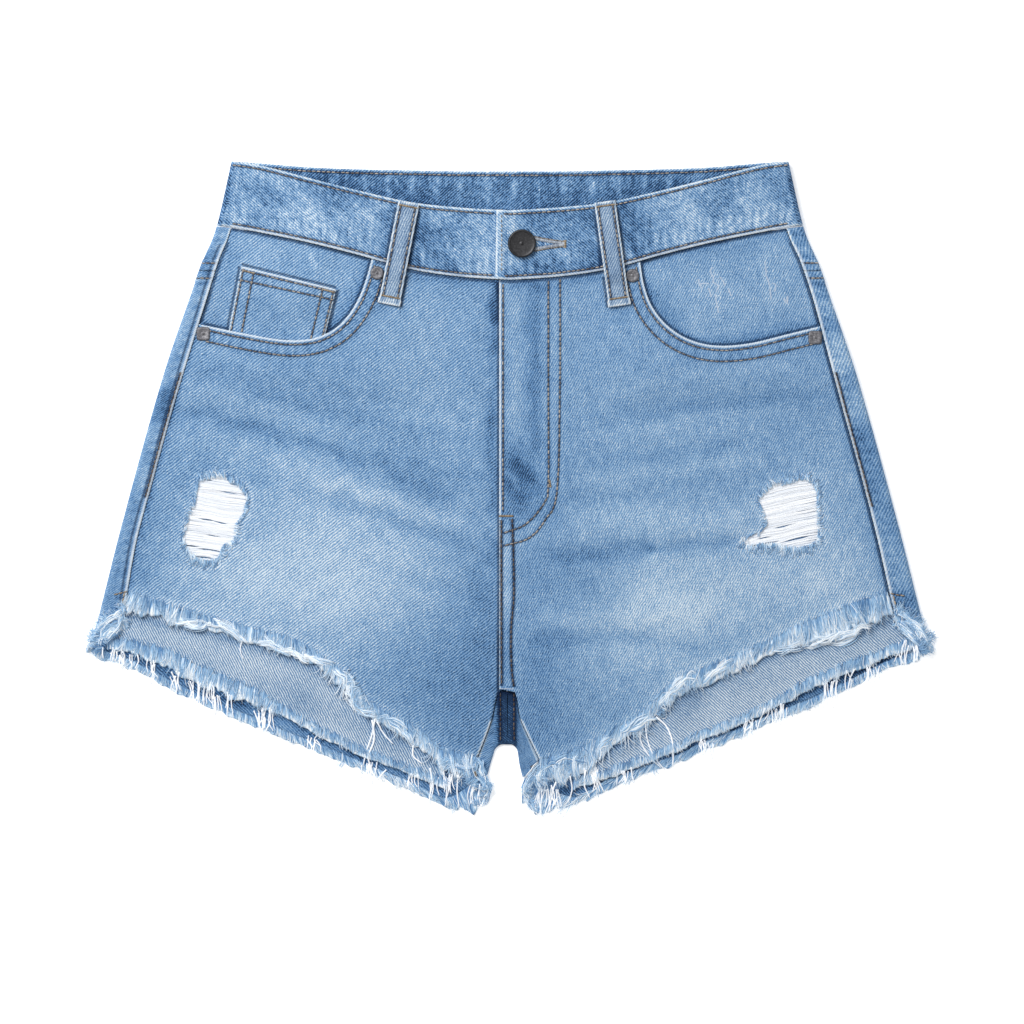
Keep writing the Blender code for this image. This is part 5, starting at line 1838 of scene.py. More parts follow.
def sew_fly(sewing):
    def line(*places, side=RIGHT):
        return from_drawing(side, places, smoothed=False)

    left, right = over(LEFT, "front"), over(RIGHT, "front")
    lap = from_drawing(RIGHT, ((500.2, 283), (500.2, 400), (500.2, 514)))
    sewing.strip("ridge", lap, right, 1.0)
    sewing.strip("ridge", line((500, 688.5), (507, 688.8), (514, 689)), right, 0.55)
    for top, bottom, width in ((282, 320, 2.6), (282, 516, 1.6), (516, 714, 1.5), (630, 716, 2.0)):
        shaded = ((498.2, top), (498.2, (top + bottom) / 2), (498, bottom))
        sewing.strip("shadow", from_drawing(LEFT, shaded), left, width)
    for row in (FLY_EDGE, *FLY_ROWS):
        kind = "brown" if row[0][1] < 500 else "dark_brown"
        sewing.row(kind, from_drawing(RIGHT, row), right)
    sewing.bar("orange", line((499, 516), (513, 516)), right, 1.3)
    sewing.bar("orange", line((549.5, 480), (550.5, 487)), right, 1.2)
    gusset = at_level(RIGHT, GUSSET_HEIGHT + ON_SHELL)
    for column in (500.5, 514):
        sewing.row("dark_brown", line((column, 693), (column, 742)), gusset)
    # Painted shadow under the front panels' crotch edge
    sewing.strip("groove", line((499, 693), (516, 693.5)), gusset, 2.4)
    sewing.bar("orange", line((475, 772), (477, 780), side=LEFT), left, 1.6)
    sewing.row("brown", line((530, 767), (540, 763)), right)


def sew_coin_pocket(sewing):
    coin, facing = over(LEFT, "coin"), over(LEFT, "facing")
    inner, outer = zip(COIN_TOP, COIN_BOTTOM)
    for edge, out in ((inner, (-1.3, 0)), (COIN_TOP, (0, 1.3)), (outer, (1.3, 0))):
        sewing.strip("shadow", np.add(edge, out), facing, 1.6)
    sewing.strip("ridge", coin_at((0, 1), 0.02), coin, 0.9)
    for down in (0.055, 0.195):
        sewing.row("brown", coin_at((0, 1), down), coin)
    for share in (0.024, 0.136, 0.864, 0.976):
        sewing.row("brown", coin_at(share, (0.03, 0.93)), coin)
    for share in (0.08, 0.92):
        spot = coin_at(share, 0.055)
        sewing.bar("orange", [spot - (3, 0.8), spot + (3, 0.8)], coin, 1.1)


# The two sides of the buttonhole, and the way from each to the rim of its slit
BUTTONHOLE = (
    (1.1, ((534, 238.5), (550, 241.6), (564, 243.4))),
    (-1.1, ((534, 249.5), (550, 246.6), (564, 244.8))),
)


def sew_waistband(sewing):
    for side, _ in SIDES:
        last = 9.5 if side == LEFT else BAND_OVERLAP_END + 2.6
        across = np.linspace(half_width(178) - 5, last, 160)
        top, bottom = band_edges(across, "front")
        for height in (top - BAND_INSET, bottom + BAND_INSET):
            sewing.row("brown", pairs(across, height), over(side, "band"))
        across = np.linspace(0.5, half_width(190) - 7, 120)
        top, bottom = band_edges(across, "back")
        sewing.row("brown", pairs(across, top - 2.4), at_level(side, BAND_BACK_HEIGHT + ON_BAND))
        for height in (top - BAND_INSET, bottom + BAND_INSET):
            outside = at_level(side, BAND_BACK_HEIGHT - ON_BAND)
            sewing.row("brown", pairs(across, height), outside, up=-1)
    band, end = over(RIGHT, "band"), BAND_OVERLAP_END + 3.0
    top, bottom = band_edges(end, "front")
    sewing.row("brown", [(end, top - 2.6), (end, bottom + 2.6)], band)
    for aside, places in BUTTONHOLE:
        line = from_drawing(RIGHT, places)
        sewing.bar("pale", line, band, 2.2, spacing=0.5)
        sewing.bar("brown", beside(line, aside), band, 0.7, spacing=0.6)
    tack = from_drawing(RIGHT, ((565, 240.5), (565, 247.5)), smoothed=False)
    sewing.bar("orange", tack, band, 1.8)


# Half of the way between a loop's rows, and the shares of its length where the tacks are
LOOP_ROW, LOOP_TACKS = 4.4, (0.04, 0.925)


def sew_belt_loops(sewing):
    for side, _ in SIDES:
        on_loop = loop_surface(side, LOOP_SHELL / 2 + 0.12)
        top, bottom, tall, half = loop_frame(side)
        for sideways in (-LOOP_ROW, LOOP_ROW):
            sewing.row("brown", [(sideways, 2.8), (sideways, tall - 4.6)], on_loop)
        for share in LOOP_TACKS:
            middle = mix(top, bottom, share)
            level = np.interp(share, *loop_levels(side).T) + LOOP_SHELL / 2 + 0.25
            tack = [middle - half * 0.85, middle + half * 0.85]
            sewing.bar("orange", tack, at_level(side, level), 1.1)
    for _, across in LOOPS_BACK:
        ends = loop_top(across) - np.array((3, LOOP_LENGTH_BACK - 3))
        for step in (-4.6, 4.6):
            sewing.row("brown", pairs(across + step, ends), at_level(1, LOWEST), up=-0.2)


def sew_back(sewing):
    for side, _ in SIDES:
        across = np.linspace(centre_back(side) + 1, half_width(YOKE_SIDE) - 8, 80)
        bends = (0, YOKE_BEND_ACROSS, half_width(YOKE_SIDE))
        seam = np.interp(across, bends, (YOKE_CENTRE, YOKE_BEND, YOKE_SIDE))
        for step in (1.6, 7.6):
            sewing.row("brown", pairs(across, seam + step), under_seat(side), up=-1)
        for height in (YOKE_SIDE + 4.5, YOKE_SIDE - 4.5):
            first, last = fold_middle(height) + 1.5, seam_over_fold(side, height) - 0.8
            sewing.row("brown", pairs(np.linspace(first, last, 12), height), on_strip(side))
        top, bottom = drawn(0, 372)[1], drawn(0, 498 if side == LEFT else 507)[1]
        heights = np.linspace(top, bottom, 40)
        line = pairs(seam_over_fold(side, heights) - 1.7, heights)
        sewing.row("dark_brown", line, on_strip(side))
        corners = pocket_corners()
        shares = np.array((2.2, 8.4)) / POCKET_REACH
        outer, inner = (mix(corners, corners.mean(axis=0), share) for share in shares)
        for line in (np.vstack([outer, outer[:1]]), inner):
            sewing.row("brown", line, at_level(side, LOWEST), up=-0.2)
    for step in (1.6, 7.4):
        line = pairs(CENTRE_BACK + step, np.linspace(148, -146, 200))
        sewing.row("brown", line, under_seat(RIGHT), up=-1)


# ---- frayed edges ----

# A frayed edge. cloth and tip: lines at its root and its reach. place: (side, across, height, lift)
# to places. over: how far the roll overlaps the sound cloth. thick: how high the roll stands.
# threads: loose ones on each mm. tone: how worn it is.
Edge = namedtuple("Edge", "name side cloth tip place over thick threads tone")
# Where the back hem's fringe turns round the inner corner of each leg
CORNER_TIPS = {
    LEFT: ((11, -183), (15.5, -191), (22, -196)),
    RIGHT: ((4.8, -183.5), (9, -192), (15, -197)),
}


def over_layer(level):
    """Places at a lift over the middle of a layer."""

    def place(side, across, height, lift):
        return to_world(side, across, height, level(side, across, height) + lift)

    return place


def over_back(side, across, height, lift):
    """Places at a lift over the back pieces: on top of their strips, and inside the leg where
    they lie on the floor."""
    return place_back(side, across, height, np.where(across > fold_middle(height), lift, -lift))


def fringe_edges():
    found = []
    for side, word in SIDES:
        tips = np.array([(row.across, row.front_tip) for row in HEM[side]], float)
        tips[-1, 0] = seam_across(side, tips[-1, 1]) - 2 * SEAM_GAP
        front = hem_run(side)
        front[-1, 0] -= 2 * SEAM_GAP
        facing = map(Line, facing_columns(side, "facing_cloth", "facing_tip"))
        flat = [(row.across, row.back_tip) for row in HEM[side][1:]]
        flat = [*CORNER_TIPS[side], *flat, STRIP_TIP_UNDER]
        back = back_hem(side), BackLine(flat, STRIP_TIP_FOLD, STRIP_TIP_SEAM, side)
        for word_of_layer, lines, place, *sizes in (
            ("front", (Line(front), Line(tips)), over_layer(front_level), 3.0, 1.0, 3.4, 0.5),
            ("facing", facing, over_layer(hem_facing_level), 3.6, 0.7, 3.0, 0.48),
            ("back", back, over_back, 1.0, 0.35, 2.6, 0.2),
        ):
            found.append(Edge(f"fringe_{word_of_layer}_{word}", side, *lines, place, *sizes))
    return found


def length_of(line, samples):
    return lengths_along(line.at(np.linspace(0, 1, samples)))[-1]


ROLL_STEP, ROLL_ROWS = 0.8, 8


def roll_cloth(edge, seed):
    """The soft roll of unravelled threads along a hem."""

    def place(u, v):
        order = np.unique(np.round(u, 5))
        column = np.searchsorted(order, np.round(u, 5))
        root, tip = edge.cloth.at(order), edge.tip.at(order)
        s = lengths_along(root)
        ragged = 0.82 + 0.20 * ripple(s, 0, 5.5, seed) + 0.10 * ripple(s, 0, 1.9, seed + 1)
        way = ((tip - root) * ragged[:, None])[column]
        root, s = root[column], s[column]
        reach = np.linalg.norm(way, axis=1)
        roll_over = edge.over * (0.75 + 0.45 * ripple(s, 0, 2.4, seed + 6))
        spot = root + way * mix(-roll_over / np.maximum(reach, 1), 1, v)[:, None]
        puff = edge.thick * np.sin(math.pi * np.clip(v * 1.05, 0, 1)) ** 0.8
        tufts = 0.5 * ripple(s, v * 3, 4.2, seed + 2) + 0.3 * ripple(s, v * 2, 1.4, seed + 3)
        lift = mix(-0.7, 0.1, smooth(v, 0, 0.25)) + puff * (0.7 + tufts)
        points = edge.place(edge.side, *spot.T, lift)
        points[:, 2] = np.maximum(points[:, 2], FRAYED_SHELL / 2 + 0.02)
        out = np.abs(points[:, 0])
        wear = edge.tone + 0.18 * ripple(s, v * 2, 2.0, seed + 4) + 0.12 * ripple(s, v * 3, 7, seed + 5)
        wear = wear + 0.34 * bump(v, 0.88, 0.16) - 0.2 * bump(v, 0.2, 0.25)
        inside = v * (reach + roll_over) + UNWORN * (1 - smooth(out, 22, 30))
        if edge.place is over_back:
            wear, inside = wear + 0.25 * smooth(out, 236, 240), inside + UNWORN
        return Cloth(points, pairs(s, v * reach), wear, inside)

    return place


def curled(root, way, length, lean, hook, t):
    """Threads that leave root along way, lean to a side and hook round at their tips."""
    turn = (lean[:, None] + hook[:, None] * t**2.5)[..., None]
    step = way[:, None] * np.cos(turn) + left_of(way)[:, None] * np.sin(turn)
    step = step * (length[:, None, None] / (len(t) - 1))
    return root[:, None] + np.cumsum(step, axis=1) - step[:, :1]


def arch(t, rise=0.85):
    """How high a thread stands at each share of its length, up to 1."""
    return np.sin(math.pi * (0.05 + rise * t))


def taper(t):
    """How thick a thread is at each share of its length, down to half at its tip."""
    return 1 - 0.5 * t**3


def fringe_threads(edge, seed):
    """Loose threads over the roll, leaning and curling together in tufts."""
    random = np.random.default_rng(seed)
    total = length_of(edge.cloth, 400)
    count, t = int(total * edge.threads), np.linspace(0, 1, 7)
    share = np.sort(random.uniform(0.0, 1.0, count))
    root = edge.cloth.at(share)
    way = edge.tip.at(share) - root
    reach, way, s = np.linalg.norm(way, axis=1), unit(way), share * total
    tuft = ripple(s, 0, 4.5, seed + 1)
    white = smooth(ripple(s, 0, 11, seed + 6), 0.25, 0.75)
    lean = 0.35 * tuft + random.normal(0, 0.13, count)
    hook = 0.9 * ripple(s, 0, 3.2, seed + 7) + random.normal(0, 0.45, count)
    start = edge.over * random.uniform(0.1, 1.2, count)
    length = reach * (0.88 + 0.25 * tuft) * random.uniform(0.6, 1.15, count) + start
    spots = curled(root - way * start[:, None], way, length, lean, hook, t)
    out_of_roll = np.clip(t * 4, 0, 1)
    lift = edge.thick * random.uniform(0.5, 1.6, (count, 1))
    lift = lift * np.sin(math.pi * (0.02 + 0.85 * t)) ** 0.7 + mix(0.1, 0.6, out_of_roll)
    paths = edge.place(edge.side, *spots.reshape(-1, 2).T, lift.ravel())
    paths[:, 2] = np.maximum(paths[:, 2], 0.35)
    size = random.uniform(0.18, 0.32, (count, 1)) * taper(t) * mix(0.5, 1, out_of_roll)
    shade = 0.42 + 0.3 * white[:, None] + 0.2 * tuft[:, None] + random.normal(0, 0.2, (count, 1))
    return paths.reshape(count, -1, 3), size, np.clip(shade + 0.5 * (t - 0.4), 0, 1)


# Places in the next four tables are squares of the drawing.
# Long loose threads
LOOSE = {
    LEFT: (
        ((375, 719), (371, 738), (366, 752), (363, 766)),
        ((377, 722), (383, 733), (389, 740), (393, 744)),
        ((372, 720), (374, 740), (368, 757), (372, 770)),
        ((413, 745), (413, 756), (417, 760), (422, 764)), ((430, 768), (432, 784), (429, 799)),
        ((443, 766), (444, 778), (443, 788)), ((458, 775), (457, 792), (459, 807)),
        ((242, 640), (240, 650), (243, 659)), ((368, 765), (374, 776), (381, 786)),
        ((386, 770), (379, 778), (373, 785)),
    ),
    RIGHT: (
        ((645, 722), (648, 742), (655, 758), (665, 770)),
        ((656, 717), (667, 727), (673, 745), (673, 768)),
        ((640, 724), (641, 742), (650, 757), (661, 768)), ((594, 768), (598, 780), (604, 792)),
        ((586, 770), (584, 784), (590, 798)), ((556, 782), (552, 795), (556, 806)),
        ((570, 776), (572, 790), (568, 803)), ((540, 790), (535, 802), (537, 815)),
    ),
}
# Bunches of hanging threads: column and row, how far they hang, how wide the bunch is, and count
BUNCHES = {
    LEFT: (
        (112, 650, 11, 10, 7), (128, 655, 14, 10, 9), (150, 662, 17, 8, 6), (176, 674, 15, 8, 6),
        (200, 684, 20, 12, 14), (222, 694, 20, 9, 8), (262, 710, 20, 11, 12),
        (312, 738, 14, 7, 7), (368, 765, 16, 9, 8), (412, 774, 14, 7, 6), (440, 776, 22, 12, 10),
        (476, 786, 20, 7, 7),
    ),
    RIGHT: (
        (548, 788, 22, 12, 12), (590, 768, 18, 9, 8), (625, 770, 13, 9, 7), (708, 742, 14, 9, 9),
        (752, 720, 15, 8, 8), (770, 708, 16, 7, 5), (784, 705, 15, 4, 4), (830, 680, 20, 8, 9),
        (852, 671, 20, 6, 4), (866, 668, 18, 7, 4), (877, 667, 14, 4, 3), (904, 643, 22, 5, 5),
        (917, 645, 18, 4, 4),
    ),
}
# Places where frayed yarn curls up over the hems: a line, how far the threads go from it to its
# left, their count, how far round they turn, and their shade
CURLS = {
    LEFT: (
        (((474, 764), (482, 770), (485, 780), (483, 795), (476, 806)), 4, 120, 2.2, 0.45),
        (((440, 762), (456, 768), (470, 775), (478, 788)), 6, 130, 2.2, 0.45),
        (((345, 668), (354, 684), (364, 702), (378, 716)), 5, 90, 2.6, 0.6),
        (((126, 607), (112, 617), (99, 629), (91, 641)), 6.5, 190, 1.2, 0.45),
        (((128, 620), (120, 630), (108, 636), (98, 648)), 5.5, 150, 1.6, 0.45),
    ),
    RIGHT: (
        (((545, 764), (534, 770), (528, 782), (528, 796), (535, 808)), -4, 120, 2.2, 0.45),
        (((585, 752), (566, 760), (548, 770), (538, 782)), -6, 140, 2.2, 0.5),
        (((688, 680), (676, 690), (668, 700), (660, 716)), -5, 90, 2.4, 0.6),
        (((896, 609), (910, 618), (922, 630), (929, 642)), -6.5, 190, 1.2, 0.45),
        (((896, 622), (906, 632), (918, 640), (926, 650)), -5.5, 150, 1.6, 0.45),
    ),
}
# Locks of yarn that run along a line, wandering and crossing: the line, how far they spread to
# each side, their count, each of a few threads side by side, and their shade
LOCKS = {
    LEFT: (
        (((172, 621), (190, 626), (208, 625), (226, 624)), 3, 12, 1),
        (((208, 618), (224, 625), (238, 636), (250, 645)), 2.2, 7, 1),
        (((256, 638), (275, 645), (295, 653), (312, 660)), 2.8, 12, 1),
        (((300, 655), (318, 660), (334, 666), (344, 678)), 2, 6, 1),
        (((336, 666), (346, 680), (350, 697), (360, 712)), 2.8, 12, 0.95),
        (((350, 700), (362, 712), (378, 714), (388, 722)), 2.2, 6, 0.9),
        (((378, 716), (398, 726), (414, 741), (430, 752)), 3, 9, 0.8),
        (((436, 749), (440, 764), (446, 780)), 1.4, 4, 0.85),
        (((450, 751), (454, 767), (458, 783)), 1.4, 4, 0.85),
        (((464, 752), (468, 768), (472, 784)), 1.4, 4, 0.85),
        (((474, 758), (484, 772), (488, 790), (480, 808)), 2.6, 8, 0.75),
        (((438, 758), (458, 764), (476, 770), (486, 782), (484, 798), (476, 808)), 3.4, 9, 0.55),
        (((127, 613), (114, 623), (103, 632), (95, 645)), 4.2, 12, 0.7),
        (((126, 626), (112, 634), (101, 645)), 2, 5, 0.75),
        (((125, 610), (108, 621), (96, 632), (90, 646)), 1.6, 7, 1),
        (((124, 627), (112, 632), (104, 641)), 1.4, 5, 1),
    ),
    RIGHT: (
        (((897, 611), (911, 620), (922, 631), (931, 646)), 1.6, 7, 1),
        (((899, 628), (910, 634), (919, 642)), 1.4, 5, 1),
        (((748, 654), (732, 662), (716, 672), (702, 684)), 2.6, 10, 0.95),
        (((700, 676), (688, 678), (674, 690), (664, 704), (660, 714)), 2.8, 12, 0.95),
        (((660, 712), (640, 722), (624, 732), (608, 742)), 3, 9, 0.85),
        (((612, 738), (600, 748), (596, 762)), 2.4, 6, 0.85),
        (((876, 622), (845, 632), (815, 643), (798, 652)), 2.6, 11, 1),
        (((866, 628), (848, 638), (826, 643)), 3.4, 7, 1),
        (((802, 644), (786, 650), (770, 652)), 2.2, 5, 0.95),
        (((592, 748), (594, 762), (588, 778)), 1.4, 4, 0.85),
        (((578, 752), (574, 766), (578, 784)), 1.4, 4, 0.85),
        (((560, 757), (556, 772), (560, 788)), 1.4, 4, 0.85),
        (((546, 762), (538, 778), (544, 796)), 1.4, 4, 0.85),
        (((588, 754), (562, 760), (540, 770), (528, 784), (530, 800), (536, 810)), 3.4, 9, 0.55),
        (((544, 764), (530, 776), (524, 790), (530, 806), (540, 812)), 2.6, 8, 0.75),
        (((896, 614), (907, 622), (918, 632), (926, 645)), 4.2, 12, 0.7),
        (((897, 628), (909, 636), (921, 646)), 2, 5, 0.75),
    ),
}
LOCK_THREADS = 6


def by_side(rows):
    """The rows of a table for both sides, each with its side first."""
    return [(side, *row) for side, _ in SIDES for row in rows[side]]


def highest_layer(side, across, height):
    """The top of the cloth under a loose thread."""
    on_facing = height > read(HEM[side], "facing_tip", across)
    on_front = height > read(HEM[side], "front_tip", across)
    level = np.where(on_facing, hem_facing_level(side, across, height) + 1.0, 1.6)
    level = np.where(on_front, front_level(side, across, height) + 1.7, level)
    rim = half_width(height)
    over_strip = strip_height(height) + 1.4 - 3.6 * smooth(across, rim - 2, rim + 2)
    return np.where(across > seam_across(side, height), over_strip, level)


def resting(side, spots, rise):
    """Paths of threads that lie on the cloth under them and stand up from it by rise."""
    flat = spots.reshape(-1, 2).T
    level = highest_layer(side, *flat) - 0.5 + rise.ravel()
    return to_world(side, *flat, np.maximum(level, LOWEST)).reshape(*rise.shape, 3)


def lock_threads():
    random = np.random.default_rng(37)
    t, parts = np.linspace(0, 1, 8), []
    for side, places, spread, locks, tone in by_side(LOCKS):
        def several(low, high):
            return np.repeat(random.uniform(low, high, locks), LOCK_THREADS)

        line, count = from_drawing(side, places), locks * LOCK_THREADS
        total = lengths_along(line)[-1]
        length = np.minimum(several(7, 15), total)
        start = several(0, 1) * (total - length)
        start = np.maximum(start + random.normal(0, 0.5, count), 0)
        along = (start[:, None] + length[:, None] * t).ravel()
        ahead = unit(at_lengths(line, along + 0.6) - at_lengths(line, along - 0.6))
        own = np.repeat(several(-1, 1), len(t))
        wander = ripple(along, 9 * own + locks, 4.5, 38)
        apart = np.repeat(random.normal(0, 0.6, count), len(t))
        sideways = spread * (0.9 * own + 0.8 * wander) + apart
        spots = at_lengths(line, along) + left_of(ahead) * sideways[:, None]
        rise = random.uniform(0.4, 1.6, (count, 1)) * arch(t, 0.9)
        size = random.uniform(0.22, 0.36, (count, 1)) * (1 - 0.5 * (2 * t - 1) ** 4)
        shade = tone - 0.1 + random.normal(0, 0.22, (count, 1)) + 0 * t
        parts.append((resting(side, spots, rise), size, np.clip(shade, 0, 1)))
    return [np.concatenate(part) for part in zip(*parts)]


def curl_threads():
    random = np.random.default_rng(31)
    t, parts = np.linspace(0, 1, 7), []
    for side, places, reach, count, curl, tone in by_side(CURLS):
        line, far = from_drawing(side, places), abs(reach)
        where = np.sort(random.uniform(0, lengths_along(line)[-1], count))
        along = unit(at_lengths(line, where + 0.5) - at_lengths(line, where - 0.5))
        way = left_of(along) * -math.copysign(1, reach) * side
        tuft = ripple(where, count, 3.4, 33)
        lean = 0.7 * tuft + random.normal(0, 0.3, count)
        hook = curl * ripple(where, 0, 4.0, 34) + random.normal(0, 0.9, count)
        length = far * random.uniform(0.5, 1.3, count)
        root = at_lengths(line, where) - way * random.uniform(0, far * 0.6, (count, 1))
        spots = curled(root, way, length, lean, hook, t)
        rise = random.uniform(0.3, 1.4, (count, 1)) * arch(t)
        size = random.uniform(0.20, 0.34, (count, 1)) * taper(t)
        shade = tone + 0.2 * tuft[:, None] + random.normal(0, 0.18, (count, 1)) + 0.3 * (t - 0.5)
        parts.append((resting(side, spots, rise), size, np.clip(shade, 0, 1)))
    return [np.concatenate(part) for part in zip(*parts)]


def loose_threads():
    random = np.random.default_rng(19)
    lines = [(side, from_drawing(side, places)) for side, *places in by_side(LOOSE)]
    long_ones = len(lines)
    for side, column, row, reach, spread, count in by_side(BUNCHES):
        for _ in range(count):
            x, y = column + random.uniform(-1, 1) * spread, row + random.uniform(-3, 3)
            lean = random.normal(0, 3.2)
            end = y + reach * random.uniform(0.7, 1.35)
            bend = random.normal(0, 1.6)
            places = ((x, y), (x + lean * 0.4 + bend, mix(y, end, 0.5)), (x + lean, end))
            lines.append((side, from_drawing(side, places)))
    paths, t = [], np.linspace(0, 1, 14)
    for side, line in lines:
        spots = at_lengths(line, t * lengths_along(line)[-1])
        spots = spots + 0.05 * random.normal(0, 1, spots.shape)
        level = highest_layer(side, *spots.T)
        level = np.convolve(np.pad(level, 2, "edge"), np.ones(5) / 5, "valid") + 0.1
        paths.append(to_world(side, *spots.T, np.maximum(level, LOWEST)))
    size = random.uniform(0.30, 0.45, (len(paths), 1)) * (1 - 0.4 * t**4)
    size[:long_ones] *= 1.25
    return np.array(paths), size, random.uniform(0.6, 1, (len(paths), 1))


# ---- worn holes ----

# Slits between the threads of a hole: column and row of the drawing, and half of its length
SLITS = {
    LEFT: (
        (230, 493, 9), (207, 520, 8), (221, 523, 6), (213, 536, 7), (192, 546, 6), (203, 549, 6),
        (216, 551, 7), (204, 557, 7),
    ),
    RIGHT: (
        (764, 538, 6), (783, 527, 9), (789, 541, 10), (801, 538, 6),
    ),
}
HOLE_SLOPE = {LEFT: -math.tan(math.radians(9)), RIGHT: math.tan(math.radians(12))}
# From thread to thread of a layer, and how far they reach under the cloth round the hole
HOLE_SPACING, HOLE_REACH = 0.62, 1.6


def hole_threads(side):
    """The white threads that still cross a hole, in two layers."""
    random = np.random.default_rng(23)
    outline, slope = hole_outline(side), HOLE_SLOPE[side]
    x = np.arange(outline[:, 0].min() - 1, outline[:, 0].max() + 1, 0.35)
    offsets = outline[:, 1] - slope * outline[:, 0]
    t, threads = np.linspace(0, 1, 13), []
    for layer in (0, 1):
        first = offsets.min() + 0.4 + layer * HOLE_SPACING / 2
        for offset in np.arange(first, offsets.max() - 0.2, HOLE_SPACING):
            tilt = slope + random.normal(0, 0.012)
            inside = within(outline, x, offset + tilt * x)
            if inside.sum() < 4:
                continue
            along = mix(x[inside].min() - HOLE_REACH, x[inside].max() + HOLE_REACH, t)
            y = offset + tilt * (along - x.mean()) + slope * x.mean()
            y = y + 0.06 * random.normal(0, 1, len(t)) + 0.5 * ripple(along, offset, 9, 71)
            for column, row, half_length in SLITS[side]:
                slit_x, slit_y = drawn(column, row)
                past = np.interp(slit_x, along, y) - slit_y
                near = bump(along, slit_x, half_length * SQUARE)
                y = y + np.sign(past) * 0.52 * near * bump(past, 0, 1.3)
            level = front_level(side, side * along, y) - 0.25 - 0.35 * layer
            level = level - 0.3 * np.sin(math.pi * t) + random.normal(0, 0.12)
            size = np.full(len(t), random.uniform(0.26, 0.35))
            # The lower layer is painted darker, as shade under the upper one
            shade = [random.uniform(0.6, 1) - 0.3 * layer]
            threads.append((np.stack([along, y, level], axis=1), size, shade))
    return [np.array(part) for part in zip(*threads)]


def hole_tufts(side):
    """Short torn threads round a hole: above it they stand up, below it they curl down."""
    random = np.random.default_rng(29)
    outline = hole_outline(side)
    count, t = 640, np.linspace(0, 1, 6)
    where = np.sort(random.uniform(0, lengths_along(outline)[-1], count))
    root = at_lengths(outline, where)
    out = root - outline.mean(axis=0)
    at_top = np.clip(out[:, 1] / (np.ptp(outline[:, 1]) / 2), -1, 1)
    endwise = np.abs(at_top) ** 1.5
    tuft = ripple(where, 0, 2.8, 35)
    length = mix(2.6, 6.6, endwise) * random.uniform(0.35, 1.1, count) * (1 + 0.35 * tuft)
    way = unit(out) * mix(0.9, 0.3, endwise)[:, None] + pairs(0, np.sign(at_top) * endwise)
    way = unit(way)
    lean = 0.5 * tuft + random.normal(0, 0.2, count)
    hook = 1.8 * ripple(where, 0, 2.2, 36) + random.normal(0, 0.6, count)
    start = root - way * random.uniform(0.0, 1.8, (count, 1))
    spots = curled(start, way, length, lean, hook, t)
    x, y = spots.reshape(-1, 2).T
    level = front_level(side, side * x, y).reshape(count, -1)
    level = level + 0.5 + random.uniform(0.2, 0.9, (count, 1)) * arch(t)
    size = random.uniform(0.20, 0.32, (count, 1)) * taper(t)
    shade = 0.42 + 0.3 * tuft[:, None] + random.normal(0, 0.2, (count, 1)) + 0.35 * (0.6 - t)
    return np.dstack([spots, level]), size, np.clip(shade, 0, 1)


# ---- metal ----

# Outlines (radius, height) from the middle of the top, down the outside, to that of the underside
BUTTON_OUTLINE = (
    (0, 3.05), (0.35, 3), (0.6, 2.7), (1.7, 2.78), (4.25, 2.82), (6.46, 2.9), (7.14, 2.98),
    (7.48, 3.2), (7.82, 3.18), (8.16, 2.95), (8.415, 2.5), (8.5, 2), (8.16, 1.4), (7.65, 1),
    (4.25, 0.8), (3.57, 0.6), (3.4, 0), (0, 0),
)
RIVET_OUTLINE = (
    (0, 1.1), (0.4, 1.05), (0.6, 0.682), (1.2, 0.77), (2.6, 0.858), (3.3, 1.012), (3.7, 0.88),
    (4, 0.55), (4.1, 0.22), (4.018, 0), (0, 0),
)


def square_off(mesh, centre):
    """Draws a round cap out to the corners of a rounded square."""
    points = read_rows(mesh.vertices, "co")
    out = points[:, :2] - centre
    turn = np.abs(out) / np.maximum(np.linalg.norm(out, axis=1, keepdims=True), 1e-9)
    points[:, :2] = centre + out / np.maximum((turn**5).sum(axis=1, keepdims=True), 0.1) ** 0.2
    write_points(mesh, points)


def add_cap(node, slot, outline, look, steps, squared=False):
    """Adds a cap turned round a vertical line, where its solid stands."""
    low, high = (np.array(corner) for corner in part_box(node))
    centre = (low + high) / 2

    def turn(bm):
        verts = [bm.verts.new((radius * MM, 0, height * MM)) for radius, height in outline]
        edges = [bm.edges.new(pair) for pair in zip(verts, verts[1:])]
        bmesh.ops.spin(bm, geom=verts + edges, axis=(0, 0, 1), cent=(0, 0, 0), steps=steps,
                       angle=2 * math.pi, use_merge=True)
        bmesh.ops.remove_doubles(bm, verts=bm.verts, dist=0.001 * MM)
        bmesh.ops.recalc_face_normals(bm, faces=bm.faces)
        bmesh.ops.translate(bm, verts=bm.verts, vec=(*centre[:2], low[2]))

    mesh = edit_mesh(bpy.data.meshes.new(f"{node}_cap"), turn)
    mesh.shade_smooth()
    if squared:
        square_off(mesh, centre[:2])
    add_object(mesh.name, mesh, look, slot, node)


# ---- stage ----


def add_floor(stage):
    look = Look("floor_paper", roughness=0.95, specular=0.1)
    colour = stage.floor_colour
    fibre = look.grain(40, detail=3)
    look.colours(fibre, [[part * 0.985 for part in colour], colour], start=0.3, end=0.7)
    look.glow((1, 1, 1, 1), stage.floor_glow)
    mesh = grid_mesh("floor", 1, 1, stage.floor_size / 2)
    mesh.materials.append(look.material)
    floor = bpy.data.objects.new("floor", mesh)
    collection().objects.link(floor)


def studio(fill):
    """White light from all round."""
    world = bpy.data.worlds.new("studio")
    world.use_nodes = True
    background = world.node_tree.nodes["Background"]
    background.inputs["Color"].default_value = (1, 1, 1, 1)
    background.inputs["Strength"].default_value = fill
    return world


KEY_PLACE = (-0.75, 0.85, 1.5)


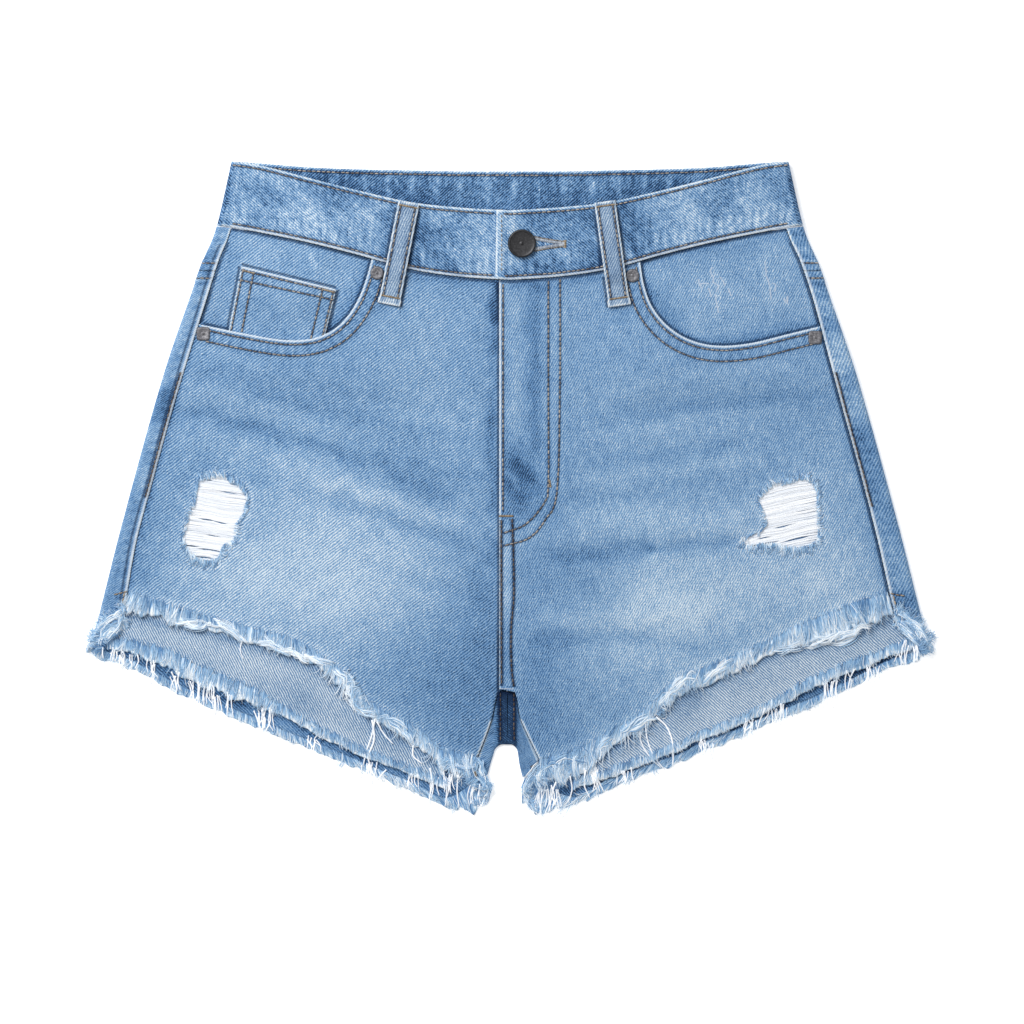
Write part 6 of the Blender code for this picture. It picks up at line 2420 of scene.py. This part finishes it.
def add_key(power, size):
    light = bpy.data.lights.new("key", "AREA")
    light.shape = "DISK"
    light.size, light.energy = size, power
    key = bpy.data.objects.new("key", light)
    key.location = KEY_PLACE
    key.rotation_euler = (-key.location).to_track_quat("-Z", "Y").to_euler()
    collection().objects.link(key)


def add_camera(stage):
    view = bpy.data.cameras.new("camera")
    view.lens, view.sensor_width, view.clip_end = stage.lens, stage.sensor, 20
    camera = bpy.data.objects.new("camera", view)
    camera.location = (*stage.aim, stage.camera_height)
    collection().objects.link(camera)
    return camera


# ---- settings, operators and panel ----


def colour(name, description, *screen):
    return FloatVectorProperty(name=name, description=description, default=from_screen(*screen),
                               size=3, min=0, max=1, subtype="COLOR")


def number(name, description, default, **more):
    return FloatProperty(name=name, description=description, default=default, **more)


class ShortsCloth(bpy.types.PropertyGroup):
    """Colours and weave of the denim."""

    darkest: colour("Darkest", "Unworn cloth deep in a seam", 30, 54, 86)
    dark: colour("Dark", "Little worn cloth", 76, 121, 170)
    middle: colour("Middle", "Washed cloth", 120, 159, 201)
    light: colour("Light", "Faded cloth", 162, 194, 222)
    worn: colour("Worn", "Cloth worn to its white threads", 232, 242, 250)
    depth: number(
        "Depth", "Dims all thread colours, to leave room for bright light", 0.88,
        min=0.3, max=1.0, subtype="FACTOR")
    twill_scale: number(
        "Twill Scale", "Widens or narrows the ribs of the twill", 1.0, min=0.5, max=2.0)


class ShortsThread(bpy.types.PropertyGroup):
    """Sizes and colours of the sewing thread and of the frayed threads, the colours of the painted
    shade and of the worn ridges along the seams, and the painted glow of the pale threads.
    """

    stitch_length: number(
        "Stitch Length", "Length of a stitch on the surface", 2.5 * MM, unit="LENGTH", precision=4)
    stitch_gap: number(
        "Stitch Gap", "Gap between two stitches of a row", 0.40 * MM, unit="LENGTH", precision=4)
    stitch_radius: number(
        "Stitch Radius", "Half of the thread's thickness", 0.47 * MM, unit="LENGTH", precision=5)
    brown_dark: colour("Brown, Dark", "Topstitching in its twist", 82, 78, 80)
    brown_light: colour("Brown, Light", "Topstitching on its ridges", 204, 194, 180)
    deep_dark: colour("Deep Brown, Dark", "Seam thread in its twist", 52, 46, 48)
    deep_light: colour("Deep Brown, Light", "Seam thread on its ridges", 134, 122, 112)
    orange_dark: colour("Orange, Dark", "Bar tacks in their twist", 136, 118, 98)
    orange_light: colour("Orange, Light", "Bar tacks on their ridges", 216, 198, 170)
    pale_dark: colour("Pale, Dark", "Buttonhole thread in its twist", 150, 162, 180)
    pale_light: colour("Pale, Light", "Buttonhole thread on its ridges", 232, 238, 245)
    # Colour of the painted shade in the grooves beside the stitches and of the painted contact shadows
    groove: colour("Groove", "Unworn cloth beside the stitches", 34, 54, 88)
    ridge: colour("Ridge", "White threads along a worn edge", 236, 243, 250)
    frayed_dark: colour("Frayed, Dark", "Bluest of the frayed threads", 90, 132, 178)
    frayed_middle: colour("Frayed, Middle", "Most of the frayed threads", 160, 196, 226)
    frayed_light: colour("Frayed, Light", "Palest of the frayed threads", 244, 249, 253)
    white_dark: colour("White, Dark", "Dullest of the white threads", 196, 208, 224)
    white_light: colour("White, Light", "Brightest of the white threads", 252, 253, 255)
    # The two glows are painted light: emission that brightens the pale threads beyond the lamps' light
    frayed_glow: number(
        "Frayed Glow", "Light that the frayed threads pass on from inside", 0.20, min=0, max=1)
    white_glow: number(
        "White Glow", "Light that the white threads pass on from inside", 0.17, min=0, max=1)


class ShortsMetal(bpy.types.PropertyGroup):
    """Colours of the button and the rivets."""

    button_dark: colour("Button, Dark", "Worn-in metal", 38, 38, 41)
    button_light: colour("Button, Light", "Scuffed metal", 66, 66, 68)
    rivet_dark: colour("Rivet, Dark", "Worn-in metal", 84, 84, 90)
    rivet_light: colour("Rivet, Light", "Scuffed metal", 150, 149, 152)


class ShortsStage(bpy.types.PropertyGroup):
    """Floor, light and camera."""

    floor_size: number("Floor Size", "Width of the floor", 8.0, unit="LENGTH")
    floor_colour: colour("Floor Colour", "Colour of the floor", 250, 250, 250)
    floor_glow: number("Floor Glow", "Light that the floor gives off itself", 0.42)
    key: number("Key Light", "Power of the soft lamp", 33.0, unit="POWER")
    key_size: number("Key Size", "Width of the soft lamp", 1.1, unit="LENGTH")
    fill: number("Fill Light", "Strength of the light from all round", 0.44)
    lens: number("Lens", "Focal length, in mm", 200.0)
    sensor: number("Sensor", "Width of the sensor, in mm", 36.0)
    camera_height: number("Camera Height", "Height over the floor", 3.42, unit="LENGTH")
    aim: FloatVectorProperty(
        name="Aim", description="Place under the camera", default=(0.0012, -0.0138),
        size=2, subtype="XYZ", unit="LENGTH")


class SHORTS_OT_stage(bpy.types.Operator):
    """Set up the floor, the light and the camera"""

    bl_idname = "shorts.stage"
    bl_label = "Stage"

    def execute(self, context):
        scene, stage = context.scene, context.scene.shorts_stage
        add_floor(stage)
        add_key(stage.key, stage.key_size)
        scene.world, scene.camera = studio(stage.fill), add_camera(stage)
        scene.view_settings.view_transform = "Standard"
        return {"FINISHED"}


class SHORTS_OT_fringes(bpy.types.Operator):
    """Make the frayed hems and their loose threads"""

    bl_idname = "shorts.fringes"
    bl_label = "Frayed Hems"

    def execute(self, context):
        hem, frayed = yarn(context, "frayed_hem", combed_look), yarn(context, "thread_frayed")
        for number_of_edge, edge in enumerate(fringe_edges()):
            seed = 100 + 10 * number_of_edge
            add_threads(f"{edge.name}_threads", fringe_threads(edge, seed), frayed)
            size = (int(length_of(edge.cloth, 300) / ROLL_STEP), ROLL_ROWS)
            mesh = cloth_mesh(f"{edge.name}_roll", size, roll_cloth(edge, seed))
            add_wall(add_object(mesh.name, mesh, hem, "frayed_denim", edge.name), FRAYED_SHELL)
        add_threads("curled_threads", curl_threads(), frayed)
        add_threads("yarn_locks", lock_threads(), yarn(context, "thread_tangled"))
        add_threads("loose_threads", loose_threads(), yarn(context, "thread_loose"), sides=4)
        return {"FINISHED"}


class SHORTS_OT_waistband(bpy.types.Operator):
    """Make the waistband"""

    bl_idname = "shorts.waistband"
    bl_label = "Waistband"

    def execute(self, context):
        size, look = (2 * sum(BAND_COLUMNS), BAND_ROWS), denim(context, "denim_band")
        add_woven("waistband", size, band_cloth, look, wall=BAND_SHELL)
        return {"FINISHED"}


class SHORTS_OT_front_panels(bpy.types.Operator):
    """Make the two front panels, with their creases and holes"""

    bl_idname = "shorts.front_panels"
    bl_label = "Front Panels"

    def execute(self, context):
        for side, word in SIDES:
            node, look = f"front_panel_{word}", denim(context, f"denim_{word}")
            mesh = cut_hole(cloth_mesh(f"{node}_cloth", FRONT_GRID, front_cloth(side)), side)
            add_sheet(node, mesh, look, f"back_panel_{word}", fringe=f"fringe_front_{word}")
        return {"FINISHED"}


class SHORTS_OT_pocket_facings(bpy.types.Operator):
    """Make the front pocket facings and the coin pocket"""

    bl_idname = "shorts.pocket_facings"
    bl_label = "Pocket Facings"

    def execute(self, context):
        for side, word in SIDES:
            node, look = f"pocket_facing_{word}", denim(context, f"denim_{word}")
            add_woven(node, FACING_GRID, facing_cloth(side), look, f"back_panel_{word}")
        look = denim(context, "denim_left")
        add_woven("coin_pocket", COIN_GRID, coin_cloth, look, "pocket_facing_left")
        return {"FINISHED"}


class SHORTS_OT_back_panels(bpy.types.Operator):
    """Make the back panels and the yokes"""

    bl_idname = "shorts.back_panels"
    bl_label = "Back Panels"

    def execute(self, context):
        look = denim(context, "denim_back")
        for side, word in SIDES:
            mesh = back_panel_mesh(side, f"back_panel_{word}_cloth")
            add_sheet(f"back_panel_{word}", mesh, look, fringe=f"fringe_back_{word}")
            add_woven(f"yoke_{word}", YOKE_GRID, yoke_cloth(side), look)
        return {"FINISHED"}


class SHORTS_OT_back_pockets(bpy.types.Operator):
    """Make the back patch pockets"""

    bl_idname = "shorts.back_pockets"
    bl_label = "Back Pockets"

    def execute(self, context):
        look = denim(context, "denim_back")
        for side, word in SIDES:
            add_woven(f"back_pocket_{word}", BACK_POCKET_GRID, back_pocket_cloth(side), look)
        return {"FINISHED"}


class SHORTS_OT_hem_facings(bpy.types.Operator):
    """Make the inner plies of the back hems"""

    bl_idname = "shorts.hem_facings"
    bl_label = "Hem Facings"

    def execute(self, context):
        for side, word in SIDES:
            look = denim(context, f"denim_inside_{word}")
            more = {"slot": "denim_inside", "fringe": f"fringe_facing_{word}"}
            node, cloth = f"hem_facing_{word}", hem_facing_cloth(side)
            add_woven(node, HEM_FACING_GRID, cloth, look, f"back_panel_{word}", **more)
        return {"FINISHED"}


class SHORTS_OT_belt_loops(bpy.types.Operator):
    """Make the belt loops"""

    bl_idname = "shorts.belt_loops"
    bl_label = "Belt Loops"

    def execute(self, context):
        look = denim(context, "denim_loop")
        for side, word in SIDES:
            node, cloth = f"belt_loop_front_{word}", front_loop_cloth(side)
            add_woven(node, FRONT_LOOP_GRID, cloth, look, "waistband", wall=LOOP_SHELL)
        for word, across in LOOPS_BACK:
            add_woven(f"belt_loop_back_{word}", BACK_LOOP_GRID, back_loop_cloth(across), look)
        return {"FINISHED"}


class SHORTS_OT_stitching(bpy.types.Operator):
    """Sew the rows of stitches and the bar tacks"""

    bl_idname = "shorts.stitching"
    bl_label = "Stitching"

    def execute(self, context):
        thread = context.scene.shorts_thread
        sewing = Sewing(thread)
        for side, _ in SIDES:
            sew_edges(sewing, side)
            sew_front(sewing, side)
        for sew in (sew_fly, sew_coin_pocket, sew_waistband, sew_belt_loops, sew_back):
            sew(sewing)
        sewing.add_stitches(context)
        sewing.add_strips("groove", thread.groove, 0.85)
        sewing.add_strips("shadow", thread.groove, 0.55)
        sewing.add_strips("ridge", thread.ridge, 0.5)
        return {"FINISHED"}


class SHORTS_OT_holes(bpy.types.Operator):
    """Make the threads in and round the worn holes"""

    bl_idname = "shorts.holes"
    bl_label = "Worn Holes"

    def execute(self, context):
        white, frayed = yarn(context, "thread_white"), yarn(context, "thread_frayed")
        for side, word in SIDES:
            add_threads(f"hole_{word}_threads", hole_threads(side), white, sides=4)
            add_threads(f"hole_{word}_tufts", hole_tufts(side), frayed)
        return {"FINISHED"}


class SHORTS_OT_metal(bpy.types.Operator):
    """Make the button and the rivets"""

    bl_idname = "shorts.metal"
    bl_label = "Button and Rivets"

    def execute(self, context):
        metal, rivet = context.scene.shorts_metal, "rivet_metal"
        look = metal_look("button_metal", (metal.button_dark, metal.button_light), 0.42)
        add_cap("button", "button_metal", BUTTON_OUTLINE, look, BUTTON_STEPS)
        look = metal_look(rivet, (metal.rivet_dark, metal.rivet_light), 0.5)
        for _, word in SIDES:
            add_cap(f"rivet_{word}_upper", rivet, RIVET_OUTLINE, look, RIVET_STEPS)
            add_cap(f"rivet_{word}_lower", rivet, RIVET_OUTLINE, look, RIVET_STEPS, squared=True)
        return {"FINISHED"}


OPERATORS = (
    SHORTS_OT_stage,
    SHORTS_OT_fringes,
    SHORTS_OT_waistband,
    SHORTS_OT_front_panels,
    SHORTS_OT_pocket_facings,
    SHORTS_OT_back_panels,
    SHORTS_OT_back_pockets,
    SHORTS_OT_hem_facings,
    SHORTS_OT_belt_loops,
    SHORTS_OT_stitching,
    SHORTS_OT_holes,
    SHORTS_OT_metal,
)
SETTINGS = {
    "shorts_cloth": ShortsCloth,
    "shorts_thread": ShortsThread,
    "shorts_metal": ShortsMetal,
    "shorts_stage": ShortsStage,
}


class SHORTS_PT_panel(bpy.types.Panel):
    """Lists the settings and the pieces"""

    bl_idname = "SHORTS_PT_panel"
    bl_label = "Denim Shorts"
    bl_space_type = "VIEW_3D"
    bl_region_type = "UI"
    bl_category = "Shorts"

    def draw(self, context):
        for group in SETTINGS:
            box = self.layout.box()
            settings = getattr(context.scene, group)
            for name in settings.__class__.__annotations__:
                box.prop(settings, name)
        for operator in OPERATORS:
            self.layout.operator(operator.bl_idname)


def register():
    for made in (*SETTINGS.values(), *OPERATORS, SHORTS_PT_panel):
        bpy.utils.register_class(made)
    for name, group in SETTINGS.items():
        setattr(bpy.types.Scene, name, PointerProperty(type=group))


def unregister():
    for name in SETTINGS:
        delattr(bpy.types.Scene, name)
    for made in reversed((*SETTINGS.values(), *OPERATORS, SHORTS_PT_panel)):
        bpy.utils.unregister_class(made)


def main():
    register()
    for operator in OPERATORS:
        group, name = operator.bl_idname.split(".")
        getattr(getattr(bpy.ops, group), name)()


if __name__ == "__main__":
    main()
